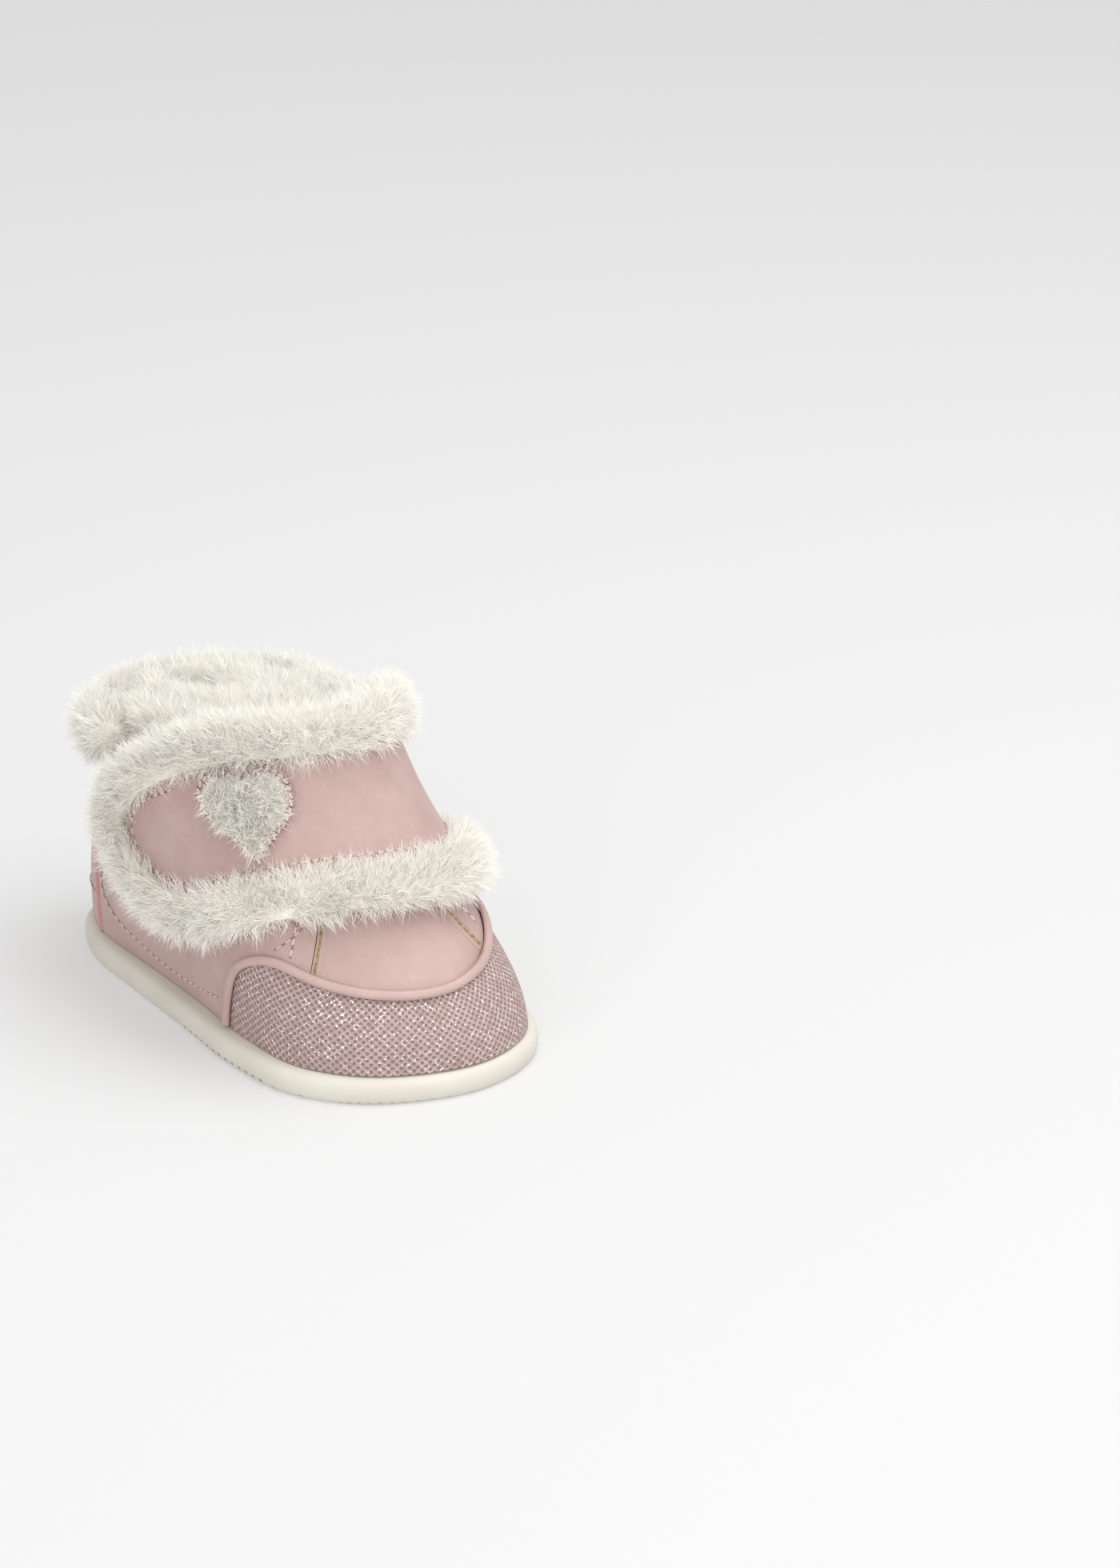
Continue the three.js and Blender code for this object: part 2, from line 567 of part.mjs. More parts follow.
bootie.add(soleGroup, upperGroup, tongueGroup, flapGroup);
export default bootie;
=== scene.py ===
import bpy
import json
import math
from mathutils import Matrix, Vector

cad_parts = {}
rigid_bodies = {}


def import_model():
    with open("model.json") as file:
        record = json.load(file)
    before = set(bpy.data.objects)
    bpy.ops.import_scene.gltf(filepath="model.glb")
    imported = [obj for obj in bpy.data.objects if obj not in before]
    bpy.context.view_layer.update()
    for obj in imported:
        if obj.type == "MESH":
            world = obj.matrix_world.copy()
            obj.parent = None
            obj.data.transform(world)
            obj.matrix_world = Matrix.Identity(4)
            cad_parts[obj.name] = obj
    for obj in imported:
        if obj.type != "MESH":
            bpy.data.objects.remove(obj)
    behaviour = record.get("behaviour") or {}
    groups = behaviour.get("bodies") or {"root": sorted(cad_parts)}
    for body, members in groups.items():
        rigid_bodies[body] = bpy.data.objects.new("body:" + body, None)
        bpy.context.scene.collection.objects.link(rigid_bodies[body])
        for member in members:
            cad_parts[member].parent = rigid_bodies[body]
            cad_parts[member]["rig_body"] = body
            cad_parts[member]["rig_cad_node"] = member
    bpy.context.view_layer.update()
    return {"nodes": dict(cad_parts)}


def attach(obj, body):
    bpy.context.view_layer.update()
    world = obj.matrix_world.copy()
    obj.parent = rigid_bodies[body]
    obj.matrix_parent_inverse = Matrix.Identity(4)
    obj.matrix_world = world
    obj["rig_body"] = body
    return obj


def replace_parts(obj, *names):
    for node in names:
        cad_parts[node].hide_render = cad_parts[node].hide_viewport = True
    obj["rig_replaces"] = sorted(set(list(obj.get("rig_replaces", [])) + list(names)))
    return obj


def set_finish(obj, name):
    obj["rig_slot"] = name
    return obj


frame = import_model()


# ---------------------------------------------------------------------------
# Studio: a plain pale floor that runs far into the background, a soft overhead
# panel, a fill from the toe side, and a camera a little above the bootie,
# looking at its outer side and toe.
scene = bpy.context.scene
SOLE_LENGTH = 0.132
LOOK_AT = Vector((0, 0, 0.0264))
CAMERA_AZIMUTH, CAMERA_ELEVATION = math.radians(52.6), math.radians(24.1)
CAMERA_DISTANCE = SOLE_LENGTH / 0.10
SENSOR = 36
FOCAL_SHARE = 3.622  # focal length over the long side of the frame
SUBJECT_OFFSET = Vector((-0.1714, -0.0708))  # where LOOK_AT falls, from the frame's middle
FLOOR_SIZE, FLOOR_GLOW, SKY_STRENGTH = 12, 0.33, 0.66

camera_data = bpy.data.cameras.new("camera")
camera_data.sensor_width = SENSOR
camera_data.lens = SENSOR * FOCAL_SHARE
camera_data.clip_start, camera_data.clip_end = 0.05, 20
camera = bpy.data.objects.new("camera", camera_data)
scene.collection.objects.link(camera)
toward_camera = Vector((math.sin(CAMERA_AZIMUTH) * math.cos(CAMERA_ELEVATION),
                        -math.cos(CAMERA_AZIMUTH) * math.cos(CAMERA_ELEVATION),
                        math.sin(CAMERA_ELEVATION)))
camera.location = LOOK_AT + toward_camera * CAMERA_DISTANCE
camera.rotation_mode = "QUATERNION"
subject_ray = Vector((SUBJECT_OFFSET.x, SUBJECT_OFFSET.y, -FOCAL_SHARE)).normalized()
straight = (-toward_camera).to_track_quat("-Z", "Y")
camera.rotation_quaternion = straight @ subject_ray.rotation_difference(Vector((0, 0, -1)))
scene.camera = camera


def deselect():
    bpy.ops.object.select_all(action="DESELECT")


def new_material(name, roughness, specular=0.5):
    material = bpy.data.materials.new(name)
    material.use_nodes = True
    shader = material.node_tree.nodes["Principled BSDF"]
    shader.inputs["Roughness"].default_value = roughness
    shader.inputs["Specular IOR Level"].default_value = specular
    return material


def add_node(material, kind, **settings):
    made = material.node_tree.nodes.new(kind)
    for key, value in settings.items():
        if key in made.inputs:
            made.inputs[key].default_value = value
        else:
            setattr(made, key, value)
    return made


def wire(material, source, target):
    material.node_tree.links.new(source, target)


def shader_input(material, name):
    return material.node_tree.nodes["Principled BSDF"].inputs[name]


def ramp_between(material, source, low, high, start=0.0, end=1.0):
    ramp = add_node(material, "ShaderNodeValToRGB")
    ramp.color_ramp.elements[0].position, ramp.color_ramp.elements[1].position = start, end
    ramp.color_ramp.elements[0].color, ramp.color_ramp.elements[1].color = (*low, 1), (*high, 1)
    wire(material, source, ramp.inputs["Fac"])
    return ramp.outputs["Color"]


floor_paper = new_material("floor_paper", 0.9, 0.1)
paper_mottle = add_node(floor_paper, "ShaderNodeTexNoise", Scale=3.0, Detail=2.0)
wire(floor_paper, ramp_between(floor_paper, paper_mottle.outputs["Fac"], (0.43,) * 3, (0.44,) * 3),
     shader_input(floor_paper, "Base Color"))
shader_input(floor_paper, "Emission Color").default_value = (1, 1, 1, 1)
shader_input(floor_paper, "Emission Strength").default_value = FLOOR_GLOW
deselect()
bpy.ops.mesh.primitive_plane_add(size=FLOOR_SIZE, location=(0, 0, 0))
floor = bpy.context.object
floor.name = "floor"
floor.data.materials.append(floor_paper)

world = bpy.data.worlds.new("studio")
world.use_nodes = True
world.node_tree.nodes["Background"].inputs["Color"].default_value = (1, 1, 1, 1)
world.node_tree.nodes["Background"].inputs["Strength"].default_value = SKY_STRENGTH
scene.world = world
scene.view_settings.view_transform = "Standard"


def panel_light(name, place, size, power):
    data = bpy.data.lights.new(name, "AREA")
    data.size = size
    data.energy = power
    lamp = bpy.data.objects.new(name, data)
    lamp.location = place
    lamp.rotation_mode = "QUATERNION"
    lamp.rotation_quaternion = (LOOK_AT - Vector(place)).to_track_quat("-Z", "Y")
    scene.collection.objects.link(lamp)


panel_light("overhead_panel", (0.25, 0.25, 0.9), 0.9, 6.8)
panel_light("outer_fill", (0.55, -0.95, 0.55), 0.7, 3.2)
panel_light("toe_fill", (1.0, -0.25, 0.45), 0.6, 2.2)


# ---------------------------------------------------------------------------
# Sole: one moulding of cream rubber, flat on the ground, with a rounded side
# wall that stands out as a flange round the upper. Its tread is cut with fine
# ribs at heel and toe and long cross grooves and waves between them.
SOLE_WIDTH, SOLE_THICK = 0.0685, 0.006
OUTLINE = [(-0.5, 0), (-0.462, -0.212), (-0.356, -0.343), (-0.197, -0.397), (-0.023, -0.442),
           (0.152, -0.489), (0.311, -0.467), (0.432, -0.292), (0.5, 0.066), (0.451, 0.365),
           (0.326, 0.511), (0.152, 0.472), (-0.023, 0.38), (-0.197, 0.307), (-0.356, 0.301),
           (-0.462, 0.204)]


def outline_at(w):
    n = len(OUTLINE)
    place = (w % 1.0) * n
    i, f = int(place), place - int(place)
    p = [Vector((OUTLINE[(i + k) % n][0] * SOLE_LENGTH, OUTLINE[(i + k) % n][1] * SOLE_WIDTH))
         for k in (-1, 0, 1, 2)]
    d = [max((p[k + 1] - p[k]).length, 1e-9) ** 0.5 for k in range(3)]
    start = ((p[1] - p[0]) / d[0] - (p[2] - p[0]) / (d[0] + d[1]) + (p[2] - p[1]) / d[1]) * d[1]
    end = ((p[2] - p[1]) / d[1] - (p[3] - p[1]) / (d[1] + d[2]) + (p[3] - p[2]) / d[2]) * d[1]
    return (p[1] + start * f + (3 * (p[2] - p[1]) - 2 * start - end) * f * f
            + (2 * (p[1] - p[2]) + start + end) * f ** 3)


def sole_point(w, inset, z):
    p = outline_at(w)
    run = (outline_at(w + 0.001) - outline_at(w - 0.001)).normalized()
    return Vector((p.x - run.y * inset, p.y + run.x * inset, z))


def make_active(piece):
    deselect()
    piece.select_set(True)
    bpy.context.view_layer.objects.active = piece


def face_outward(piece):
    """Turns every face of a closed mesh outward."""
    make_active(piece)
    bpy.ops.object.mode_set(mode="EDIT")
    bpy.ops.mesh.select_all(action="SELECT")
    bpy.ops.mesh.normals_make_consistent(inside=False)
    bpy.ops.object.mode_set(mode="OBJECT")


def new_object(name, verts, faces):
    mesh = bpy.data.meshes.new(name)
    mesh.from_pydata(verts, [], faces)
    made = bpy.data.objects.new(name, mesh)
    scene.collection.objects.link(made)
    return made


def loft(name, columns, rows, place, closed=False):
    """A grid pulled into shape: place(s, r) gives each point; closed joins its two ends."""
    deselect()
    bpy.ops.mesh.primitive_grid_add(x_subdivisions=columns, y_subdivisions=rows, size=1)
    made = bpy.context.object
    made.name = name
    for v in made.data.vertices:
        s, r = v.co.x + 0.5, v.co.y + 0.5
        v.co = place(min(max(s, 0), 1), min(max(r, 0), 1))
    bpy.ops.object.mode_set(mode="EDIT")
    bpy.ops.mesh.select_all(action="SELECT")
    if closed:
        bpy.ops.mesh.remove_doubles(threshold=1e-6)
    bpy.ops.object.mode_set(mode="OBJECT")
    return made


def fill_ends(piece):
    """Joins the two open rings of a rolled strip, so that it closes on itself underneath."""
    make_active(piece)
    bpy.ops.object.mode_set(mode="EDIT")
    bpy.ops.mesh.select_mode(type="EDGE")
    bpy.ops.mesh.select_all(action="DESELECT")
    bpy.ops.mesh.select_non_manifold()
    bpy.ops.mesh.bridge_edge_loops()
    bpy.ops.mesh.select_mode(type="VERT")
    bpy.ops.mesh.select_all(action="SELECT")
    bpy.ops.mesh.normals_make_consistent(inside=False)
    bpy.ops.object.mode_set(mode="OBJECT")


def apply_modifiers(piece):
    make_active(piece)
    for modifier in list(piece.modifiers):
        bpy.ops.object.modifier_apply(modifier=modifier.name)


# inset from the outline and height, from the tread round the side wall to the top
SOLE_PROFILE = [(0.0016, 0), (0.0008, 0.0002), (0.0003, 0.0008), (0, 0.0018), (0, 0.0030), (0.0002, 0.0042),
                (0.0007, 0.0051), (0.0014, 0.0057), (0.0024, 0.0060), (0.006, 0.0060), (0.012, 0.0060)]
SOLE_ROWS = len(SOLE_PROFILE) - 1
sole = loft("outsole_rubber", 160, SOLE_ROWS, lambda s, r: sole_point(s, *SOLE_PROFILE[round(r * SOLE_ROWS)]),
            closed=True)
make_active(sole)
bpy.ops.object.mode_set(mode="EDIT")
for rim_z in (SOLE_PROFILE[0][1], SOLE_PROFILE[-1][1]):  # the flat underside, then the flat top
    bpy.ops.mesh.select_all(action="DESELECT")
    bpy.ops.object.mode_set(mode="OBJECT")
    on_ring = {v.index for v in sole.data.vertices if abs(v.co.z - rim_z) < 1e-5}
    counts = {}
    for face in sole.data.polygons:
        for key in face.edge_keys:
            counts[key] = counts.get(key, 0) + 1
    for edge in sole.data.edges:
        a, b = edge.vertices
        edge.select = counts[tuple(sorted((a, b)))] == 1 and a in on_ring and b in on_ring
    bpy.ops.object.mode_set(mode="EDIT")
    bpy.ops.mesh.select_mode(type="EDGE")
    bpy.ops.mesh.edge_face_add()
bpy.ops.mesh.select_mode(type="VERT")
bpy.ops.mesh.select_all(action="SELECT")
bpy.ops.mesh.normals_make_consistent(inside=False)
bpy.ops.object.mode_set(mode="OBJECT")

TREAD_LEAN, GROOVE_DEPTH, GROOVE_SPAN = math.radians(6.9), 0.0008, 0.08
HEEL_RIBS, HEEL_PITCH, HEEL_RIB_WIDTH = 12, 0.0023, 0.0007
TOE_RIBS, TOE_PITCH, TOE_RIB_WIDTH = 11, 0.0017, 0.0006
CROSS_GROOVES, CROSS_WIDTH = 7, 0.0013
NOTCHES, NOTCH_PITCH, NOTCH_WIDTH, NOTCH_LENGTH, NOTCH_DEPTH = 13, 0.0027, 0.0010, 0.011, 0.0015
WAVES, WAVE_START, WAVE_PITCH, WAVE_WIDTH, WAVE_SWING, WAVE_TURN = 7, -0.0335, 0.0040, 0.0009, 0.0011, 620


def groove_bar(x, width, length, y=0.0, depth=GROOVE_DEPTH):
    bpy.ops.mesh.primitive_cube_add(size=1, location=(x, y, 0), rotation=(0, 0, TREAD_LEAN),
                                    scale=(width, length, 2 * depth))
    return bpy.context.object


def groove_line(points, width):
    """A groove cutter along an open or closed run of points."""
    loop = (points[0] - points[-1]).length < 1e-6
    if loop:
        points = points[:-1]
    n = len(points)
    verts, faces = [], []
    for i, p in enumerate(points):
        before = points[i - 1] if loop or i else p
        after = points[(i + 1) % n] if loop or i < n - 1 else p
        side = Vector((-(after - before).y, (after - before).x)).normalized() * width / 2
        for q in (p + side, p - side):
            for z in (-GROOVE_DEPTH, GROOVE_DEPTH):
                verts.append((q.x, q.y, z))
    for i in range(n if loop else n - 1):
        a, b = 4 * i, 4 * ((i + 1) % n)
        faces += [(a, a + 1, b + 1, b), (a + 1, a + 3, b + 3, b + 1), (a + 3, a + 2, b + 2, b + 3),
                  (a + 2, a, b, b + 2)]
    if not loop:
        faces += [(0, 2, 3, 1), (4 * n - 4, 4 * n - 3, 4 * n - 1, 4 * n - 2)]
    cutter = new_object("groove_line", verts, faces)
    face_outward(cutter)
    return cutter


deselect()
tread_cuts = [groove_bar(-SOLE_LENGTH * 0.465 + i * HEEL_PITCH, HEEL_RIB_WIDTH, GROOVE_SPAN)
              for i in range(HEEL_RIBS)]
tread_cuts += [groove_bar(-SOLE_LENGTH * 0.03 + i * SOLE_LENGTH * 0.055, CROSS_WIDTH, GROOVE_SPAN)
               for i in range(CROSS_GROOVES)]
# small notches along the outer edge, under the ball of the foot
edge_notches = [groove_bar(i * NOTCH_PITCH, NOTCH_WIDTH, NOTCH_LENGTH, y=-0.0345, depth=NOTCH_DEPTH)
                for i in range(NOTCHES)]
wave_steps = [-GROOVE_SPAN / 2 + GROOVE_SPAN * k / 80 for k in range(81)]
waves = []
for i in range(WAVES):
    x = WAVE_START + i * WAVE_PITCH
    waves.append(groove_line([Vector((x + WAVE_SWING * math.sin(y * WAVE_TURN), y)) for y in wave_steps],
                             WAVE_WIDTH))
tread_cuts += [groove_bar(SOLE_LENGTH * 0.365 + i * TOE_PITCH, TOE_RIB_WIDTH, GROOVE_SPAN)
               for i in range(TOE_RIBS)]
for cutters in (tread_cuts, edge_notches, waves):
    deselect()
    for bar in cutters:
        bar.select_set(True)
    bpy.context.view_layer.objects.active = cutters[0]
    bpy.ops.object.join()
    cutter = bpy.context.object
    bpy.ops.object.transform_apply(location=True, rotation=True, scale=True)
    cut = sole.modifiers.new("tread", "BOOLEAN")
    cut.operation, cut.object, cut.solver = "DIFFERENCE", cutter, "EXACT"
    apply_modifiers(sole)
    bpy.data.objects.remove(cutter)
make_active(sole)
bpy.ops.object.shade_smooth_by_angle(angle=math.radians(35))


def surface_texture(material, kind, **settings):
    """A texture that reads Object coordinates, so it stays with its piece."""
    place = add_node(material, "ShaderNodeTexCoord")
    made = add_node(material, kind, **settings)
    wire(material, place.outputs["Object"], made.inputs["Vector"])
    return made


def paint(material, source, low, high, start=0.0, end=1.0):
    """Base colour that goes from low to high as the source goes from start to end."""
    wire(material, ramp_between(material, source, low, high, start, end), shader_input(material, "Base Color"))


def add_relief(material, height, strength, distance):
    bump = add_node(material, "ShaderNodeBump", Strength=strength, Distance=distance)
    wire(material, height, bump.inputs["Height"])
    wire(material, bump.outputs["Normal"], shader_input(material, "Normal"))
    return bump


cream_rubber = new_material("cream_rubber", 0.62, 0.4)
rubber_mottle = surface_texture(cream_rubber, "ShaderNodeTexNoise", Scale=60.0, Detail=4.0)
paint(cream_rubber, rubber_mottle.outputs["Fac"], (0.64, 0.605, 0.53), (0.70, 0.67, 0.595), 0.3, 0.7)
rubber_grain = surface_texture(cream_rubber, "ShaderNodeTexNoise", Scale=2600.0, Detail=2.0)
add_relief(cream_rubber, rubber_grain.outputs["Fac"], 0.12, 0.0003)
sole.data.materials.append(cream_rubber)
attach(sole, "boot")
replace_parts(sole, "outsole")
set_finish(sole, "sole_rubber")


# ---------------------------------------------------------------------------
# Leather panels: vamp, quarters, heel patch, collar panels, tongue and flap.
# Each is cut from soft pink nappa about 1.5 mm thick, its edge slightly
# rounded, and is pulled over the last and sewn to its neighbours.
SHARP = math.radians(50)
EDGE_ROUND = 0.00025
CUT_FACE = 0.0014  # the longest short side of a face on a panel's cut edge


def loose_copy(source, name):
    """A copy of a piece with its own mesh, which rides on no body yet."""
    made = source.copy()
    made.data = source.data.copy()
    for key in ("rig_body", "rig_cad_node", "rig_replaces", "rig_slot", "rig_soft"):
        if key in made:
            del made[key]
    made.parent = None
    made.name = name
    scene.collection.objects.link(made)
    return made


def spread_border(piece, reach, keep_past, end_reach):
    """Pushes a sheet's cut edge outward by reach, or end_reach at its heel end, below y = keep_past."""
    sheet = piece.data
    sharp, walls = set(), {}
    for face in sheet.polygons:
        for key in face.edge_keys:
            walls.setdefault(key, []).append(face)
    for key, faces in walls.items():
        if len(faces) == 2 and faces[0].normal.angle(faces[1].normal) > SHARP:
            sharp.update(key)
    push = {}
    for face in sheet.polygons:
        if all(v in sharp for v in face.vertices) and min(
                (sheet.vertices[a].co - sheet.vertices[b].co).length for a, b in face.edge_keys) < CUT_FACE:
            for v in face.vertices:
                push[v] = push.get(v, Vector((0, 0, 0))) + face.normal
    for v, way in push.items():
        if sheet.vertices[v].co.y < keep_past and way.length > 1e-6:
            way.normalize()
            sheet.vertices[v].co += way * (end_reach if way.x < -0.6 else reach)


def panel_from(cad_node, name, edge=EDGE_ROUND, levels=2, border=None):
    """A copy of a CAD panel, welded, with softened edges and a smooth skin."""
    piece = loose_copy(frame["nodes"][cad_node], name)
    piece.data.materials.clear()
    piece.hide_viewport = piece.hide_render = False
    piece.hide_set(False)
    make_active(piece)
    bpy.ops.object.mode_set(mode="EDIT")
    bpy.ops.mesh.select_all(action="SELECT")
    bpy.ops.mesh.remove_doubles(threshold=2e-5)
    bpy.ops.mesh.tris_convert_to_quads(face_threshold=math.radians(60), shape_threshold=math.radians(60))
    bpy.ops.mesh.normals_make_consistent(inside=False)
    bpy.ops.object.mode_set(mode="OBJECT")
    if edge:
        soften = piece.modifiers.new("edge", "BEVEL")
        soften.width, soften.segments, soften.limit_method = edge, 2, "ANGLE"
        soften.angle_limit = SHARP
    if border:
        spread_border(piece, *border)
    smooth = piece.modifiers.new("skin", "SUBSURF")
    smooth.levels = smooth.render_levels = levels
    apply_modifiers(piece)
    bpy.ops.object.shade_smooth()
    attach(piece, frame["nodes"][cad_node]["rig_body"])
    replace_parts(piece, cad_node)
    return piece


def leather(name, shade, light, grain=1500.0, roughness=0.5):
    """Soft nappa: fine pebble grain, faint creases, a little tone from place to place."""
    made = new_material(name, roughness, 0.4)
    mottle = surface_texture(made, "ShaderNodeTexNoise", Scale=90.0, Detail=6.0, Roughness=0.6)
    paint(made, mottle.outputs["Fac"], shade, light, 0.3, 0.7)
    pebbles = surface_texture(made, "ShaderNodeTexVoronoi", Scale=grain, feature="SMOOTH_F1")
    creases = surface_texture(made, "ShaderNodeTexNoise", Scale=220.0, Detail=5.0, Roughness=0.65)
    fine = add_node(made, "ShaderNodeBump", Strength=0.25, Distance=0.0002)
    wire(made, pebbles.outputs["Distance"], fine.inputs["Height"])
    coarse = add_relief(made, creases.outputs["Fac"], 0.35, 0.0012)
    wire(made, fine.outputs["Normal"], coarse.inputs["Normal"])
    sheen = ramp_between(made, creases.outputs["Fac"], (roughness - 0.08,) * 3, (roughness + 0.1,) * 3)
    wire(made, sheen, shader_input(made, "Roughness"))
    return made


NAPPA_SHADE, NAPPA_LIGHT = (0.465, 0.322, 0.295), (0.535, 0.382, 0.352)
# how far the flap's own edge runs on under the fur band that is sewn over it: all
# round, where that stops in y, and at the heel end
UNDER_FUR = (0.0042, 0.0215, 0.0080)
pink_nappa = leather("pink_nappa", NAPPA_SHADE, NAPPA_LIGHT)
for cad_node in ("vamp", "lateral_quarter", "medial_quarter", "heel_patch", "collar_panel_lateral",
                 "collar_panel_medial", "tongue"):
    piece = panel_from(cad_node, cad_node + "_leather")
    piece.data.materials.append(pink_nappa)
    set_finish(piece, "pink_leather")
flap = panel_from("flap", "flap_leather", 0.0, border=UNDER_FUR)
flap.data.materials.append(pink_nappa)
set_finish(flap, "pink_leather")


# ---------------------------------------------------------------------------
# Toe-cap piping: a smooth raised strip of the same leather, folded and sewn
# down over the border between the toe cap and the panels behind it.
piping = panel_from("toe_piping", "toe_piping_leather", 0)
piping_nappa = leather("piping_nappa", (0.48, 0.333, 0.306), (0.545, 0.39, 0.36), 2200.0, 0.45)
piping.data.materials.append(piping_nappa)
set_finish(piping, "pink_leather")


# ---------------------------------------------------------------------------
# Raw cut edges: the quarters' front edges step down to the thinner vamp and
# show their gold-brown backing; the heel patch has rose-coloured raised edges.
# The flap's sewn root and the seam strips are narrow leather strips like them.
RIM_CENTRE = Vector((-0.017, -0.001))
RIM_HALF = Vector((0.038, 0.023))
RIM_LOW, RIM_RISE = 0.058, 0.012
UPPER_BASE = SOLE_THICK + 0.0003
BEYOND = 0.060  # one unit of t above the rim
THROAT = 0.62  # t of the vamp's upper edge
EDGE_FOOT = 0.0001  # how far a strip stays off the last


def around(w, heel, side, toe):
    first, middle = (heel - toe) / 2, (heel + toe) / 2
    return ((middle + side) / 2 + first * math.cos(2 * math.pi * w)
            + (middle - side) / 2 * math.cos(4 * math.pi * w)) / 1000


def rim_point(c, s):
    return Vector((RIM_CENTRE.x + RIM_HALF.x * c, RIM_CENTRE.y + RIM_HALF.y * s, RIM_LOW + RIM_RISE * (1 + c) / 2))


def last_point(w, t):
    base = sole_point(w, around(w, 2.6, 6, 3.2), UPPER_BASE)
    out = (sole_point(w, 0, UPPER_BASE) - base).normalized()
    lower = base + out * around(w, 1.5, 2.5, -1)
    lower.z += around(w, 20, 19, 17)
    c, s = -math.cos(2 * math.pi * w), -math.sin(2 * math.pi * w)
    top = rim_point(c, s)
    top_out = Vector((c / RIM_HALF.x, s / RIM_HALF.y, 0)).normalized()
    upper = top + top_out * around(w, 4, 4, 12)
    upper.z -= around(w, 16, 19, 38)
    if t > 1:
        return top + (top - upper).normalized() * (t - 1) * BEYOND
    u = 1 - t
    return base * u ** 3 + lower * (3 * u * u * t) + upper * (3 * u * t * t) + top * t ** 3


def last_normal(w, t):
    across = last_point(w + 0.002, t) - last_point(w - 0.002, t)
    low = max(t - 0.01, 0)
    return across.cross(last_point(w, low + 0.02) - last_point(w, low)).normalized()


def above_last(w, t, lift):
    return last_point(w, t) + last_normal(w, t) * lift


def edge_ribbon(name, cad_node, place, profile, t0, t1, rows=60):
    """A narrow closed strip along a cut edge: profile lists its height above the last, across."""
    lows, highs = [], []
    n = len(profile)
    for j in range(rows + 1):
        t = t0 + (t1 - t0) * j / rows
        for i in range(n):
            w = place(i / (n - 1), t)
            highs.append(above_last(w, t, profile[i]))
            lows.append(above_last(w, t, EDGE_FOOT))
    count = len(lows)
    faces = []
    for j in range(rows):
        for i in range(n - 1):
            a = j * n + i
            faces += [(a, a + 1, a + n + 1, a + n),
                      (count + a, count + a + n, count + a + n + 1, count + a + 1)]
    ring = (list(range(n)) + [j * n + n - 1 for j in range(1, rows + 1)]
            + [rows * n + i for i in range(n - 2, -1, -1)] + [j * n for j in range(rows - 1, 0, -1)])
    for k, a in enumerate(ring):
        b = ring[(k + 1) % len(ring)]
        faces.append((a, count + a, count + b, b))
    strip = new_object(name, lows + highs, faces)
    share = strip.data.attributes.new("across_strip", "FLOAT", "POINT")
    for k in range(2 * count):
        share.data[k].value = (k % count) % n / (n - 1)
    face_outward(strip)
    bpy.ops.object.shade_smooth_by_angle(angle=math.radians(60))
    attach(strip, "boot")
    if cad_node:
        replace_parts(strip, cad_node)
    return strip


def front_lateral(t):
    return 0.4295 - 0.115 * (THROAT - min(t, THROAT))


def front_medial(t):
    return 0.5405 + 0.069 * (THROAT - min(t, THROAT))


gold_edge = leather("gold_edge", NAPPA_SHADE, NAPPA_LIGHT, 2200.0)
gold_share = add_node(gold_edge, "ShaderNodeAttribute", attribute_name="across_strip")
gold_band = add_node(gold_edge, "ShaderNodeValToRGB")
NO_GOLD, GOLD = (0, 0, 0, 1), (1, 1, 1, 1)
for place, tone in ((0.16, NO_GOLD), (0.20, GOLD), (0.46, GOLD), (0.52, NO_GOLD)):
    stop = gold_band.color_ramp.elements.new(place)
    stop.color = tone
gold_band.color_ramp.elements[0].color = NO_GOLD
gold_band.color_ramp.elements[-1].color = NO_GOLD
wire(gold_edge, gold_share.outputs["Fac"], gold_band.inputs["Fac"])
gold_mix = add_node(gold_edge, "ShaderNodeMix", data_type="RGBA")
wire(gold_edge, gold_band.outputs["Color"], gold_mix.inputs[0])
pink_part = shader_input(gold_edge, "Base Color").links[0].from_socket
wire(gold_edge, pink_part, gold_mix.inputs[6])
gold_fibres = surface_texture(gold_edge, "ShaderNodeTexNoise", Scale=1400.0, Detail=3.0)
wire(gold_edge, ramp_between(gold_edge, gold_fibres.outputs["Fac"], (0.20, 0.125, 0.055), (0.44, 0.32, 0.17),
                             0.35, 0.65), gold_mix.inputs[7])
wire(gold_edge, gold_mix.outputs[2], shader_input(gold_edge, "Base Color"))
rose_edge = leather("rose_edge", (0.50, 0.235, 0.23), (0.60, 0.31, 0.30), 2600.0, 0.6)

step_down = (0.00150, 0.00156, 0.00150, 0.00130, 0.00108, 0.00094, 0.00091, 0.00091, 0.00091)
for cad_node, front, way in (("lateral_edge", front_lateral, 1), ("medial_edge", front_medial, -1)):
    strip = edge_ribbon(cad_node + "_cut", cad_node, lambda s, t: front(t) + way * (0.0006 + 0.0078 * s),
                        step_down, 0.375, 1.0)
    strip.data.materials.append(gold_edge)
    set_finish(strip, "gold_edge")
root_height = (0.0024, 0.0029, 0.0030, 0.0030, 0.0030, 0.0030, 0.0030, 0.0029, 0.0024)
root = edge_ribbon("flap_root_leather", "flap_root", lambda s, t: 0.685 + 0.050 * s, root_height, 0.61, 0.915)
root.data.materials.append(pink_nappa)
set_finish(root, "pink_leather")

# strips of the same leather that close the seams under the collar panels and at
# the foot of the tongue, a little lower than the panels they join
for name, w0, w1, t0, t1, height in (("seam_collar_lateral", 0.004, 0.427, 0.785, 0.815, 0.00125),
                                     ("seam_collar_medial", 0.543, 0.996, 0.785, 0.815, 0.00125),
                                     ("seam_throat", 0.440, 0.531, 0.610, 0.634, 0.00065)):
    strip = edge_ribbon(name, None, lambda s, t: w0 + (w1 - w0) * s, (height,) * 48, t0, t1, 4)
    strip.data.materials.append(pink_nappa)
    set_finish(strip, "pink_leather")

